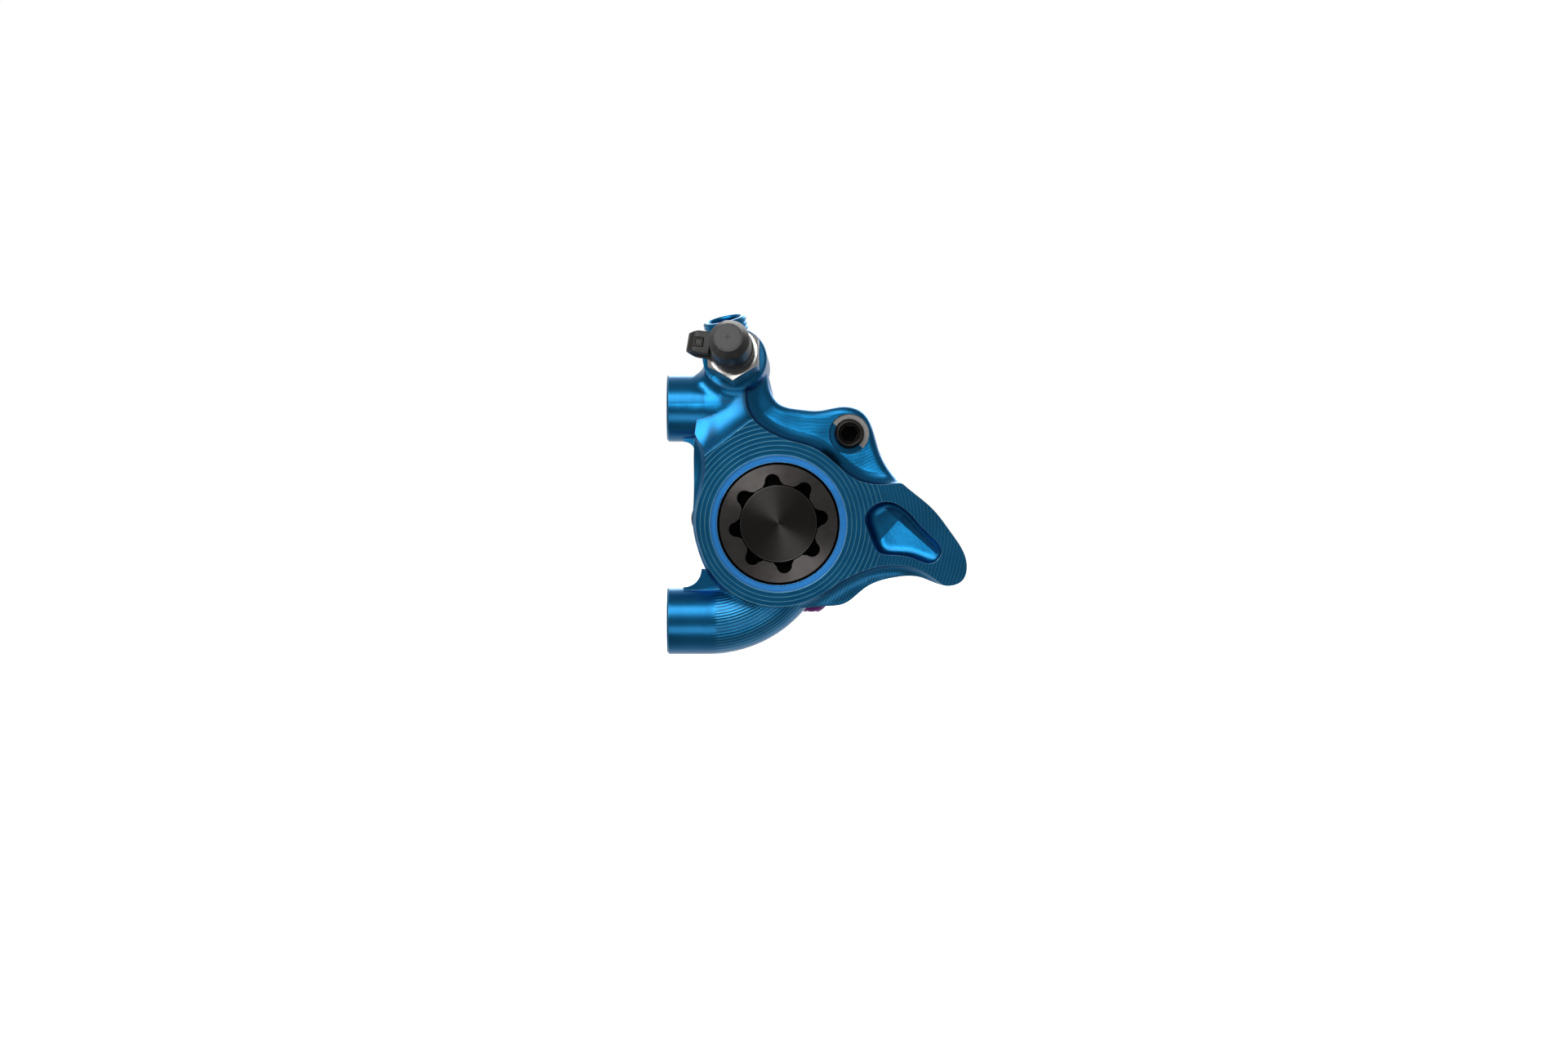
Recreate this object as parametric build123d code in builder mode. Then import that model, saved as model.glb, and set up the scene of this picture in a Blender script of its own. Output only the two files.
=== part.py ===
from build123d import *
import math
import os

# Bicycle disc brake caliper, sizes in millimetres.
# X points away from the frame the feet stand on, Y from the outboard to the inboard side, Z up the feet.
# The origin lies on the feet's faces, midway between their two threads.

# Mounting feet
foot_spacing = 34.0
foot_radius = 5.36
foot_edge_chamfer = 0.3
foot_thread_minor_radius = 2.1
foot_thread_depth = 12.0
foot_straight = 6.7
upper_foot_length = 17.0
upper_foot_end = 15.4
valley_start = 11.0
root_start = 2.6
root_reach = 9.0
root_front = -2.2
root_depth = 5.6
lower_root_radius = 2.9
upper_root_radius = 1.9
arm_bend_radius = 14.64
arm_bend_angle = 56.0

# Bore axis, seen from the outboard side
bore_from_feet = 17.8
bore_below_middle = 1.5

# Depths along Y
plateau_front = -8.0
flange_front = -2.2
rotor_plane = 14.0
pad_cavity_width = 11.4
inboard_thickness = 11.3

# Body outline round the bore
fin_reach = 27.1
pin_reach_share = 0.6753
pin_direction_angle = 51.8
flange_edge_share = 0.0406
pocket_floor_share = 0.0812
band_offset_share = 0.5793
band_angle = 37.0
slope_radius_share = 0.332
slope_sink = 0.5
band_length_share = 0.812
scoop_depth = 4.4
scoop_floor_angle = 11.0
scoop_floor_share = 0.048

# Rotor and pad cavity
rotor_centre_distance = 61.5
rotor_radius = 70.0
rotor_clearance = 1.5
rotor_slot_width = 5.0
cavity_half_length = 12.6

# Running fits
slide_clearance = 0.03
seat_clearance = 0.05
cut_overrun = 1.0

# Bore cap
cap_ring_radius = 10.85
cap_ring_recess = 0.3
cap_thread_radius = 9.7
cap_face_radius = 9.35
cap_rim_depth = 0.6
cap_thickness = 5.2
cap_below_plateau = 0.2
cap_boss_radius = 6.07
cap_boss_gap = 0.18
cap_lobe_reach = 7.96
cap_lobe_end_radius = 1.2
cap_lobe_base_width = 3.3
cap_lobe_depth = 2.4
cap_lobe_count = 8
cap_lobe_angle = 98.0
cap_ring_wire = 1.5
cap_ring_from_end = 0.8
cap_ring_slack = 0.04

# Pistons and their seals
piston_radius = 9.0
piston_length = 8.4
piston_wall = 2.2
piston_cup_depth = 6.5
piston_edge_chamfer = 0.4
bore_behind_piston = 0.4
piston_pad_gap = 0.1
seal_thickness = 1.6
seal_width = 2.2
seal_from_mouth = 2.4
seal_slack = 0.02

# Pads
pad_plate_thickness = 1.8
pad_friction_thickness = 2.3
pad_clearance = 0.3
pad_height = 18.6
pad_corner_radius = 3.2
friction_half_length = 10.6
friction_height = 16.4
friction_corner_radius = 2.6
friction_groove_width = 1.2
friction_groove_depth = 1.4
pad_neck_width = 9.0
pad_eye_radius = 3.7
pad_eye_clearance = 0.1

# Pad pin, its clip and the pad spring
pin_radius = 2.0
pin_head_radius = 2.3
pin_head_length = 6.4
pin_proud = 1.6
pin_mouth_radius = 1.75
pin_mouth_depth = 0.5
pin_socket_flats = 2.5
pin_socket_depth = 3.0
pin_mouth_chamfer = 0.35
pin_tail_length = 2.6
pin_groove_depth = 0.45
pin_groove_width = 0.7
pin_groove_from_face = 0.5
pin_spot_radius = 3.15
pin_spot_depth = 0.35
clip_thickness = 0.6
clip_ring_width = 1.1
clip_opening_angle = 80.0
clip_slack = 0.03
spring_sheet = 0.35
spring_bar_share = 0.436
spring_prong_width = 1.0
spring_prong_length = 15.0
spring_bridge_half_length = 5.0
spring_edge_clearance = 0.3
spring_rise_share = 0.244

# Bleed nipple, its dust cap and strap
nipple_seat_x = 10.85
nipple_seat_depth = -4.6
nipple_above_foot = 7.84
nipple_rise_angle = 12.8
nipple_side_angle = 4.0
nipple_boss_radius = 5.1
nipple_boss_length = 7.4
nipple_boss_root = 14.0
nipple_root_radius = 2.2
nipple_boss_edge = 0.4
nipple_hex_flats = 8.0
nipple_hex_length = 4.2
nipple_seat_gap = 0.1
nipple_hex_chamfer = 0.4
nipple_hex_turn = 30.0
nipple_thread_radius = 3.0
nipple_thread_length = 5.4
nipple_cone_length = 1.6
nipple_spout_radius = 2.0
nipple_spout_length = 7.0
nipple_barb_radius = 2.35
nipple_barb_length = 1.8
nipple_barb_angle = 12.0
nipple_cone_angle = 35.0
nipple_bore_radius = 0.8
dust_cap_radius = 3.25
dust_cap_lip_radius = 3.7
dust_cap_lip_length = 1.3
dust_cap_straight_length = 4.6
dust_cap_tip_radius = 2.2
dust_cap_tip_length = 1.9
dust_cap_edge_radius = 0.35
dust_cap_clearance = 0.12
dust_cap_standoff = 1.15
strap_thickness = 0.9
strap_width = 4.3
strap_reach = 7.1
strap_fold_gap = 1.5
strap_ring_radius = 3.3
strap_ring_clearance = 0.12
strap_corner_radius = 0.6
strap_hole_size = 1.0
strap_hole_from_fold = 1.5

# Hose port and connector
port_foot_x = 10.94
port_foot_depth = 9.0
port_foot_below_outline = 1.6
port_lean_angle = 13.0
port_forward_angle = 12.0
port_tower_radius = 4.95
port_tower_top = 3.6
port_tower_root = 9.0
port_tower_edge = 0.8
connector_radius = 3.5
connector_length = 4.2
connector_edge_chamfer = 0.3
connector_shank_radius = 2.6
connector_shank_length = 6.0
connector_mouth_radius = 2.55
connector_bore_radius = 1.3
connector_mouth_depth = 3.4
connector_washer_radius = 4.3
connector_washer_thickness = 0.9

# Transfer plug under the inboard half
plug_from_feet = 23.2
plug_seat_below = 13.14
plug_boss_gap = 0.3
plug_boss_radius = 4.3
plug_boss_height = 5.0
plug_dome_radius = 3.0
plug_head_radius = 2.69
plug_thread_radius = 2.2
plug_thread_length = 1.8
plug_end_gap = 0.2
plug_socket_flats = 2.5
plug_socket_depth = 1.6
plug_ring_wire = 0.6

# Smooth outlines round the bore axis, as shares of fin_reach
# Whole body: feet side, port, ear, fin and underside in turn
body_outline_shares = (
    (-0.500, 0.129), (-0.498, 0.277), (-0.498, 0.443),
    (-0.461, 0.720), (-0.384, 0.926), (-0.244, 0.974),
    (-0.083, 0.937), (-0.058, 0.827), (0.007, 0.708),
    (0.127, 0.676), (0.240, 0.669), (0.384, 0.692),
    (0.498, 0.657), (0.561, 0.542), (0.601, 0.410),
    (0.721, 0.240), (0.905, 0.084), (1.018, -0.063),
    (1.100, -0.218), (1.074, -0.336), (0.989, -0.365),
    (0.834, -0.315), (0.687, -0.316), (0.509, -0.380),
    (0.387, -0.472), (0.266, -0.487), (0.000, -0.506),
    (-0.229, -0.450), (-0.413, -0.295), (-0.478, -0.140),
    (-0.504, 0.000),
)
# Raised face round the bore and out along the fin
plateau_outline_shares = (
    (-0.472, 0.491), (-0.430, 0.351), (-0.461, 0.166),
    (-0.486, 0.044), (-0.461, -0.129), (-0.376, -0.310),
    (-0.214, -0.439), (0.000, -0.487), (0.225, -0.428),
    (0.364, -0.342), (0.502, -0.275), (0.649, -0.244),
    (0.788, -0.259), (0.908, -0.321), (1.011, -0.376),
    (1.114, -0.321), (1.111, -0.188), (0.963, 0.037),
    (0.753, 0.236), (0.609, 0.230), (0.465, 0.255),
    (0.339, 0.347), (0.210, 0.443), (0.077, 0.483),
    (-0.057, 0.538), (-0.162, 0.631), (-0.195, 0.745),
    (-0.196, 0.870), (-0.300, 0.985), (-0.465, 0.720),
)
# Scooped pocket in the fin
scoop_outline_shares = (
    (0.559, -0.026), (0.578, 0.092), (0.674, 0.129),
    (0.777, 0.085), (0.897, -0.044), (0.985, -0.177),
    (0.947, -0.225), (0.798, -0.194), (0.624, -0.168),
)

# Places worked out from the sizes above
bore_x = bore_from_feet
bore_z = -bore_below_middle
plateau_height = flange_front - plateau_front
cavity_front = rotor_plane - pad_cavity_width / 2
cavity_back = rotor_plane + pad_cavity_width / 2
plateau_back = cavity_back + inboard_thickness
body_depth = plateau_back - plateau_front
body_middle = plateau_front + body_depth / 2
flange_back = plateau_back - plateau_height
pin_reach = pin_reach_share * fin_reach
body_span = 4 * fin_reach
radial_x = math.cos(math.radians(pin_direction_angle))
radial_z = math.sin(math.radians(pin_direction_angle))
pin_x = bore_x + pin_reach * radial_x
pin_z = bore_z + pin_reach * radial_z
upper_foot_z = foot_spacing / 2
lower_foot_z = -foot_spacing / 2
rotor_x = bore_x - rotor_centre_distance * radial_x
rotor_z = bore_z - rotor_centre_distance * radial_z
piston_bore_radius = piston_radius + slide_clearance
seal_groove_radius = piston_bore_radius + seal_thickness
cap_seat_depth = plateau_front + cap_below_plateau + cap_thickness
outboard_plate_back = cavity_front + pad_clearance
inboard_plate_back = cavity_back - pad_clearance
outboard_piston_front = outboard_plate_back - piston_pad_gap
inboard_piston_front = inboard_plate_back + piston_pad_gap
inboard_bore_floor = inboard_piston_front + piston_length + bore_behind_piston
pin_front = flange_front - pin_proud
pad_half_length = cavity_half_length - pad_clearance
plug_depth = cavity_back + plug_boss_gap + plug_boss_radius
plug_seat_z = bore_z - plug_seat_below
outline_top = bore_z + fin_reach * max(share_z for share_x, share_z in body_outline_shares)
port_foot_height = outline_top - port_foot_below_outline


os.makedirs("parts", exist_ok=True)


def face_plane(depth):
    """Plane square to the bore axis at a depth, seen from the outboard side."""
    return Plane.XZ.offset(-depth)


def bore_plane(depth):
    """Plane square to the bore axis at a depth, with its origin on that axis."""
    return Plane(origin=(bore_x, depth, bore_z), x_dir=(1, 0, 0), z_dir=(0, -1, 0))


def pin_plane(depth):
    """Plane square to the pad pin at a depth, with its origin on the pin's axis."""
    return Plane(origin=(pin_x, depth, pin_z), x_dir=(1, 0, 0), z_dir=(0, -1, 0))


def radial_plane(depth):
    """Plane on the bore axis whose second direction runs from the rotor's centre to the pad pin."""
    return Plane(origin=(bore_x, depth, bore_z), x_dir=(radial_z, 0, -radial_x), z_dir=(0, -1, 0))


def smooth_outline(shares):
    """Closed smooth outline through a table of shares of the fin's reach."""
    Spline(*[(share_x * fin_reach, share_z * fin_reach) for share_x, share_z in shares], periodic=True)


# Floor round the raised face, with its fillet
with BuildPart() as plateau_pocket:
    with BuildSketch(bore_plane(flange_front)):
        Rectangle(body_span, body_span)
        with BuildLine():
            smooth_outline(plateau_outline_shares)
        make_face(mode=Mode.SUBTRACT)
    extrude(amount=plateau_height + cut_overrun)
    floor = plateau_pocket.faces().sort_by(Axis.Y)[-1]
    fillet(floor.inner_wires()[0].edges(), pocket_floor_share * fin_reach)

# Hollow slope between the raised face and the upper foot's front, and the step down behind it
band_offset = band_offset_share * fin_reach
band_length = band_length_share * fin_reach
band_x = -math.sin(math.radians(band_angle))
band_z = math.cos(math.radians(band_angle))
band_section = Plane(
    origin=(bore_x + band_offset * band_x, flange_front, bore_z + band_offset * band_z),
    x_dir=(band_x, 0, band_z),
    z_dir=(band_z, 0, -band_x),
)
slope_radius = slope_radius_share * fin_reach
slope_floor = flange_front + foot_radius - slope_sink
slope_rise = slope_radius + slope_floor - plateau_height
slope_width = math.sqrt(slope_radius**2 - slope_rise**2)
with BuildPart() as band_cut:
    with BuildSketch(band_section):
        with Locations((slope_width, slope_floor + slope_radius)):
            Circle(slope_radius)
        with Locations((slope_width, 0)):
            Rectangle(band_length, plateau_height + cut_overrun, align=(Align.MIN, Align.MIN))
    extrude(amount=band_length / 2, both=True)

# Scoop in the fin, its floor rising towards the tip
slope = math.radians(scoop_floor_angle)
scoop_fall = scoop_outline_shares[0][0] * fin_reach * math.tan(slope)
scoop_floor = Plane(
    origin=(bore_x, plateau_front + scoop_depth + scoop_fall, bore_z),
    x_dir=(math.cos(slope), -math.sin(slope), 0),
    z_dir=(-math.sin(slope), -math.cos(slope), 0),
)
with BuildPart() as scoop:
    with BuildSketch(scoop_floor):
        with BuildLine():
            smooth_outline(scoop_outline_shares)
        make_face()
    extrude(amount=scoop_depth + cut_overrun)
    fillet(scoop.faces().sort_by(Axis.Y)[-1].edges(), scoop_floor_share * fin_reach)

# Outboard half with its raised face and flange
with BuildPart() as outboard_side:
    with BuildSketch(bore_plane(body_middle)):
        with BuildLine():
            smooth_outline(body_outline_shares)
        make_face()
    extrude(amount=body_middle - plateau_front)
    add(plateau_pocket.part, mode=Mode.SUBTRACT)
    add(band_cut.part, mode=Mode.SUBTRACT)
    flange_rim = outboard_side.edges().filter_by_position(
        Axis.Y, flange_front - seat_clearance, flange_front + seat_clearance
    )
    fillet(flange_rim.sort_by(SortBy.LENGTH)[-1], flange_edge_share * fin_reach)

# Directions of the nipple and of the hose port
nipple_rise = math.radians(nipple_rise_angle)
nipple_side = math.radians(nipple_side_angle)
nipple_direction = Vector(
    -math.sin(nipple_side), -math.cos(nipple_side) * math.cos(nipple_rise), math.sin(nipple_rise)
).normalized()
nipple_seat = Vector(nipple_seat_x, nipple_seat_depth, upper_foot_z + nipple_above_foot)
port_direction = Vector(
    -math.tan(math.radians(port_lean_angle)), -math.tan(math.radians(port_forward_angle)), 1
).normalized()
port_foot = Vector(port_foot_x, port_foot_depth, port_foot_height)
port_top = port_foot + port_direction * port_tower_top


def nipple_plane(distance):
    """Plane square to the nipple, at a distance outwards from its seat."""
    return Plane(origin=nipple_seat + nipple_direction * distance, x_dir=(1, 0, 0), z_dir=nipple_direction)


def port_plane(distance):
    """Plane square to the hose port, at a distance outwards from the top of its tower."""
    return Plane(origin=port_top + port_direction * distance, x_dir=(1, 0, 0), z_dir=port_direction)


def foot_plane(height):
    """Plane of one foot's face, with its normal pointing into the body."""
    return Plane(origin=(0, 0, height), x_dir=(0, 1, 0), z_dir=(1, 0, 0))


# Lower arm: a round bar that runs straight out of the foot and bends up into the body
with BuildPart() as lower_arm:
    with BuildLine():
        arm_run = Line((0, 0, lower_foot_z), (foot_straight, 0, lower_foot_z))
        arm_centre = (foot_straight, 0, lower_foot_z + arm_bend_radius)
        arm_end = math.radians(arm_bend_angle)
        arm_half = arm_end / 2
        ThreePointArc(
            arm_run @ 1,
            (
                arm_centre[0] + arm_bend_radius * math.sin(arm_half),
                0,
                arm_centre[2] - arm_bend_radius * math.cos(arm_half),
            ),
            (
                arm_centre[0] + arm_bend_radius * math.sin(arm_end),
                0,
                arm_centre[2] - arm_bend_radius * math.cos(arm_end),
            ),
        )
    with BuildSketch(foot_plane(lower_foot_z)):
        Circle(foot_radius)
    sweep()
    chamfer(lower_arm.faces().sort_by(Axis.X)[0].edges(), foot_edge_chamfer)

# Boss of the nipple
with BuildPart() as nipple_boss:
    with BuildSketch(nipple_plane(0)):
        Circle(nipple_boss_radius)
    extrude(amount=-nipple_boss_length)
    fillet(nipple_boss.edges().sort_by(Axis.Y)[0], nipple_boss_edge)

# Part of the floor round the raised face that lies beyond the upper foot
with BuildPart() as valley:
    add(plateau_pocket.part)
    with BuildSketch(Plane.YZ.offset(valley_start)):
        Rectangle(body_span, body_span)
    extrude(amount=-body_span, mode=Mode.SUBTRACT)

# Upper foot: a straight round bar, blended round the nipple's boss and cut off at the valley
with BuildPart() as foot_bar:
    with BuildSketch(foot_plane(upper_foot_z)):
        Circle(foot_radius)
    extrude(amount=upper_foot_length)
    chamfer(foot_bar.faces().sort_by(Axis.X)[0].edges(), foot_edge_chamfer)
with BuildPart() as upper_foot:
    add(foot_bar.part)
    with BuildSketch(nipple_plane(0)):
        Circle(nipple_boss_radius)
    extrude(amount=-nipple_boss_root)
    fillet(upper_foot.edges().filter_by(GeomType.BSPLINE), nipple_root_radius)
    with BuildSketch(nipple_plane(-nipple_boss_length)):
        Circle(2 * nipple_boss_radius)
    extrude(amount=-nipple_boss_root, mode=Mode.SUBTRACT)
    add(foot_bar.part)
    add(valley.part, mode=Mode.SUBTRACT)
    with BuildSketch(Plane.YZ.offset(upper_foot_end)):
        Rectangle(body_span, body_span)
    extrude(amount=body_span, mode=Mode.SUBTRACT)

# Webs that fill the corners between the feet and the body
with BuildPart() as foot_roots:
    with BuildSketch(face_plane(root_front)):
        with BuildLine():
            lower_top = lower_foot_z + foot_radius
            Polyline(
                (root_start, lower_top),
                (root_start, lower_foot_z),
                (root_reach, lower_foot_z),
                (root_reach, lower_top + lower_root_radius),
                (root_start + lower_root_radius, lower_top + lower_root_radius),
            )
            TangentArc(
                (root_start + lower_root_radius, lower_top + lower_root_radius),
                (root_start, lower_top),
                tangent=(0, -1),
            )
        make_face()
        with BuildLine():
            upper_bottom = upper_foot_z - foot_radius
            Polyline(
                (root_start, upper_bottom),
                (root_start, upper_foot_z),
                (root_reach, upper_foot_z),
                (root_reach, upper_bottom - upper_root_radius),
                (root_start + upper_root_radius, upper_bottom - upper_root_radius),
            )
            TangentArc(
                (root_start + upper_root_radius, upper_bottom - upper_root_radius),
                (root_start, upper_bottom),
                tangent=(0, 1),
            )
        make_face()
    extrude(amount=-root_depth)

# Tower of the hose port
with BuildPart() as port_tower:
    with BuildSketch(port_plane(0)):
        Circle(port_tower_radius)
    extrude(amount=-(port_tower_top + port_tower_root))
    fillet(port_tower.edges().sort_by(Axis.Z)[-1], port_tower_edge)

# Caliper body
with BuildPart() as caliper_body:
    add(outboard_side.part)
    add(mirror(outboard_side.part, about=Plane.XZ.offset(-body_middle), mode=Mode.PRIVATE))
    add(lower_arm.part)
    add(upper_foot.part)
    add(foot_roots.part)
    add(nipple_boss.part)
    add(port_tower.part)
    add(scoop.part, mode=Mode.SUBTRACT)
    with BuildSketch(Plane.XY.offset(plug_seat_z)):
        with Locations((plug_from_feet, plug_depth)):
            Circle(plug_boss_radius)
    extrude(amount=plug_boss_height)

    # Pad cavity, open towards the rotor's centre and past the pad pin, and the slot for the rotor's rim
    with BuildSketch(radial_plane(cavity_front)):
        Rectangle(2 * cavity_half_length, body_span)
    extrude(amount=-pad_cavity_width, mode=Mode.SUBTRACT)
    with BuildSketch(face_plane(rotor_plane - rotor_slot_width / 2)):
        with Locations((rotor_x, rotor_z)):
            Circle(rotor_radius + rotor_clearance)
    extrude(amount=-rotor_slot_width, mode=Mode.SUBTRACT)

    # Cap seat and piston bore of the outboard side
    with Locations(bore_plane(plateau_front)):
        Hole(cap_ring_radius, depth=cap_ring_recess)
        Hole(cap_thread_radius + seat_clearance, depth=cap_seat_depth - plateau_front)
        Hole(piston_bore_radius, depth=cavity_front - plateau_front + cut_overrun)
    with Locations(bore_plane(cavity_front - seal_from_mouth - seal_width)):
        Hole(seal_groove_radius, depth=seal_width)

    # Blind bore of the inboard side
    with Locations(bore_plane(cavity_back)):
        Hole(piston_bore_radius, depth=inboard_bore_floor - cavity_back)
    with Locations(bore_plane(cavity_back + seal_from_mouth)):
        Hole(seal_groove_radius, depth=seal_width)

    # Pad pin: spot face, head seat and a hole through both halves
    with Locations(pin_plane(flange_front)):
        Hole(pin_spot_radius, depth=pin_spot_depth)
        Hole(pin_head_radius + seat_clearance, depth=pin_head_length - pin_proud + seat_clearance)
        Hole(pin_radius + seat_clearance, depth=body_depth)

    # Threads of the feet
    with Locations(
        Plane(origin=(0, 0, upper_foot_z), z_dir=(-1, 0, 0)),
        Plane(origin=(0, 0, lower_foot_z), z_dir=(-1, 0, 0)),
    ):
        Hole(foot_thread_minor_radius, depth=foot_thread_depth)

    # Holes for the nipple, the hose connector and the transfer plug
    with Locations(nipple_plane(0)):
        Hole(nipple_thread_radius + seat_clearance, depth=nipple_thread_length)
        Hole(nipple_spout_radius, depth=nipple_thread_length + nipple_cone_length)
    with Locations(port_plane(0)):
        Hole(connector_shank_radius + seat_clearance, depth=connector_shank_length)
    with Locations(Plane(origin=(plug_from_feet, plug_depth, plug_seat_z - cut_overrun), z_dir=(0, 0, -1))):
        Hole(plug_boss_radius, depth=cut_overrun)
    with Locations(Plane(origin=(plug_from_feet, plug_depth, plug_seat_z), z_dir=(0, 0, -1))):
        Hole(plug_thread_radius + seat_clearance, depth=plug_thread_length + plug_end_gap)
caliper_body.part.label = "caliper_body"
export_step(caliper_body.part, "parts/caliper_body.step")

# Bore cap: a threaded disc with a round boss and eight lobes for the tool, and a groove for its ring
cap_face = plateau_front + cap_below_plateau
with BuildPart() as bore_cap:
    with BuildSketch(bore_plane(cap_seat_depth)):
        Circle(cap_thread_radius)
    extrude(amount=cap_thickness - cap_rim_depth)
    with BuildSketch(bore_plane(cap_face + cap_rim_depth)):
        Circle(cap_face_radius)
    extrude(amount=cap_rim_depth)
    with BuildSketch(bore_plane(cap_face + cap_lobe_depth)):
        Circle(cap_boss_radius + cap_boss_gap)
        lobe_end = cap_lobe_reach - cap_lobe_end_radius
        with PolarLocations(0, cap_lobe_count, start_angle=cap_lobe_angle):
            Polygon(
                (0, -cap_lobe_base_width / 2),
                (cap_boss_radius, -cap_lobe_base_width / 2),
                (lobe_end, -cap_lobe_end_radius),
                (lobe_end, cap_lobe_end_radius),
                (cap_boss_radius, cap_lobe_base_width / 2),
                (0, cap_lobe_base_width / 2),
                align=None,
            )
        with PolarLocations(lobe_end, cap_lobe_count, start_angle=cap_lobe_angle):
            Circle(cap_lobe_end_radius)
        Circle(cap_boss_radius, mode=Mode.SUBTRACT)
    extrude(amount=cap_lobe_depth + cut_overrun, mode=Mode.SUBTRACT)
    with BuildSketch(bore_plane(cap_seat_depth - cap_ring_from_end)):
        Circle(cap_thread_radius + cut_overrun)
        Circle(cap_thread_radius - cap_ring_wire - cap_ring_slack, mode=Mode.SUBTRACT)
    extrude(amount=cap_ring_wire + 2 * cap_ring_slack, mode=Mode.SUBTRACT)
bore_cap.part.label = "bore_cap"
export_step(bore_cap.part, "parts/bore_cap.step")

ring_depth = cap_seat_depth - cap_ring_from_end - cap_ring_slack - cap_ring_wire / 2
with BuildPart(bore_plane(ring_depth)) as bore_cap_o_ring:
    Torus(cap_thread_radius - cap_ring_wire / 2, cap_ring_wire / 2)
bore_cap_o_ring.part.label = "bore_cap_o_ring"
export_step(bore_cap_o_ring.part, "parts/bore_cap_o_ring.step")


def piston(front, side):
    """Piston whose cup opens towards the rotor; side is 1 outboard and -1 inboard."""
    with BuildPart() as cup:
        with BuildSketch(bore_plane(front)):
            Circle(piston_radius)
        extrude(amount=side * piston_length)
        chamfer(cup.edges().sort_by(Axis.Y)[0 if side > 0 else -1], piston_edge_chamfer)
        with BuildSketch(bore_plane(front)):
            Circle(piston_radius - piston_wall)
        extrude(amount=side * piston_cup_depth, mode=Mode.SUBTRACT)
    return cup.part


def seal(near_depth):
    """Square-section seal in the groove that starts at this depth."""
    with BuildPart() as square_ring:
        with BuildSketch(bore_plane(near_depth + seal_slack)):
            Circle(seal_groove_radius - seal_slack)
            Circle(piston_bore_radius, mode=Mode.SUBTRACT)
        extrude(amount=-(seal_width - 2 * seal_slack))
    return square_ring.part


for label, solid in (
    ("piston_outboard", piston(outboard_piston_front, 1)),
    ("piston_inboard", piston(inboard_piston_front, -1)),
    ("piston_seal_outboard", seal(cavity_front - seal_from_mouth - seal_width)),
    ("piston_seal_inboard", seal(cavity_back + seal_from_mouth)),
):
    solid.label = label
    export_step(solid, "parts/" + label + ".step")


def pad_plate(back, side):
    """Steel back plate with its neck and eye; side is 1 outboard and -1 inboard."""
    with BuildPart() as plate:
        with BuildSketch(radial_plane(back)):
            RectangleRounded(2 * pad_half_length, pad_height, pad_corner_radius)
            Rectangle(pad_neck_width, pin_reach, align=(Align.CENTER, Align.MIN))
            with Locations((0, pin_reach)):
                Circle(pad_eye_radius)
                Circle(pin_radius + pad_eye_clearance, mode=Mode.SUBTRACT)
        extrude(amount=-side * pad_plate_thickness)
    return plate.part


def pad_friction(back, side):
    """Friction block on the plate, with one groove across its face."""
    with BuildPart() as block:
        with BuildSketch(radial_plane(back)):
            RectangleRounded(2 * friction_half_length, friction_height, friction_corner_radius)
        extrude(amount=-side * pad_friction_thickness)
        with BuildSketch(radial_plane(back + side * (pad_friction_thickness - friction_groove_depth))):
            Rectangle(friction_groove_width, 2 * friction_height)
        extrude(amount=-side * pad_friction_thickness, mode=Mode.SUBTRACT)
    return block.part


for label, solid in (
    ("pad_plate_outboard", pad_plate(outboard_plate_back, 1)),
    ("pad_plate_inboard", pad_plate(inboard_plate_back, -1)),
    ("pad_friction_outboard", pad_friction(outboard_plate_back + pad_plate_thickness, 1)),
    ("pad_friction_inboard", pad_friction(inboard_plate_back - pad_plate_thickness, -1)),
):
    solid.label = label
    export_step(solid, "parts/" + label + ".step")

# Pad pin: head in the outboard ear, shank across the cavity, grooved tail past the inboard side
with BuildPart() as pad_pin:
    with BuildSketch(pin_plane(pin_front)):
        Circle(pin_head_radius)
    extrude(amount=-pin_head_length)
    chamfer(pad_pin.edges().sort_by(Axis.Y)[0], pin_mouth_chamfer)
    pin_end = flange_back + pin_tail_length
    with BuildSketch(pin_plane(pin_end)):
        Circle(pin_radius)
    extrude(amount=pin_end - pin_front - pin_head_length)
    chamfer(pad_pin.edges().sort_by(Axis.Y)[-1], pin_mouth_chamfer)
    with BuildSketch(pin_plane(flange_back + pin_groove_from_face)):
        Circle(pin_head_radius)
        Circle(pin_radius - pin_groove_depth, mode=Mode.SUBTRACT)
    extrude(amount=-pin_groove_width, mode=Mode.SUBTRACT)
    with BuildSketch(pin_plane(pin_front + pin_mouth_depth)):
        Circle(pin_mouth_radius)
    extrude(amount=pin_mouth_depth + cut_overrun, mode=Mode.SUBTRACT)
    with BuildSketch(pin_plane(pin_front + pin_socket_depth)):
        RegularPolygon(pin_socket_flats / 2, 6, major_radius=False)
    extrude(amount=pin_socket_depth, mode=Mode.SUBTRACT)
pad_pin.part.label = "pad_pin"
export_step(pad_pin.part, "parts/pad_pin.step")

# Open clip in the pin's groove
with BuildPart() as pin_clip:
    clip_slack_depth = (pin_groove_width - clip_thickness) / 2
    clip_inner_radius = pin_radius - pin_groove_depth + clip_slack
    with BuildSketch(pin_plane(flange_back + pin_groove_from_face + clip_slack_depth)):
        Circle(clip_inner_radius + clip_ring_width + pin_groove_depth)
        Circle(clip_inner_radius, mode=Mode.SUBTRACT)
        half_opening = math.radians(clip_opening_angle / 2)
        opening_reach = 2 * pin_head_radius
        Polygon(
            (0, 0),
            (opening_reach, -opening_reach * math.tan(half_opening)),
            (opening_reach, opening_reach * math.tan(half_opening)),
            align=None,
            mode=Mode.SUBTRACT,
        )
    extrude(amount=-clip_thickness)
pin_clip.part.label = "pin_clip"
export_step(pin_clip.part, "parts/pin_clip.step")

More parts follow.
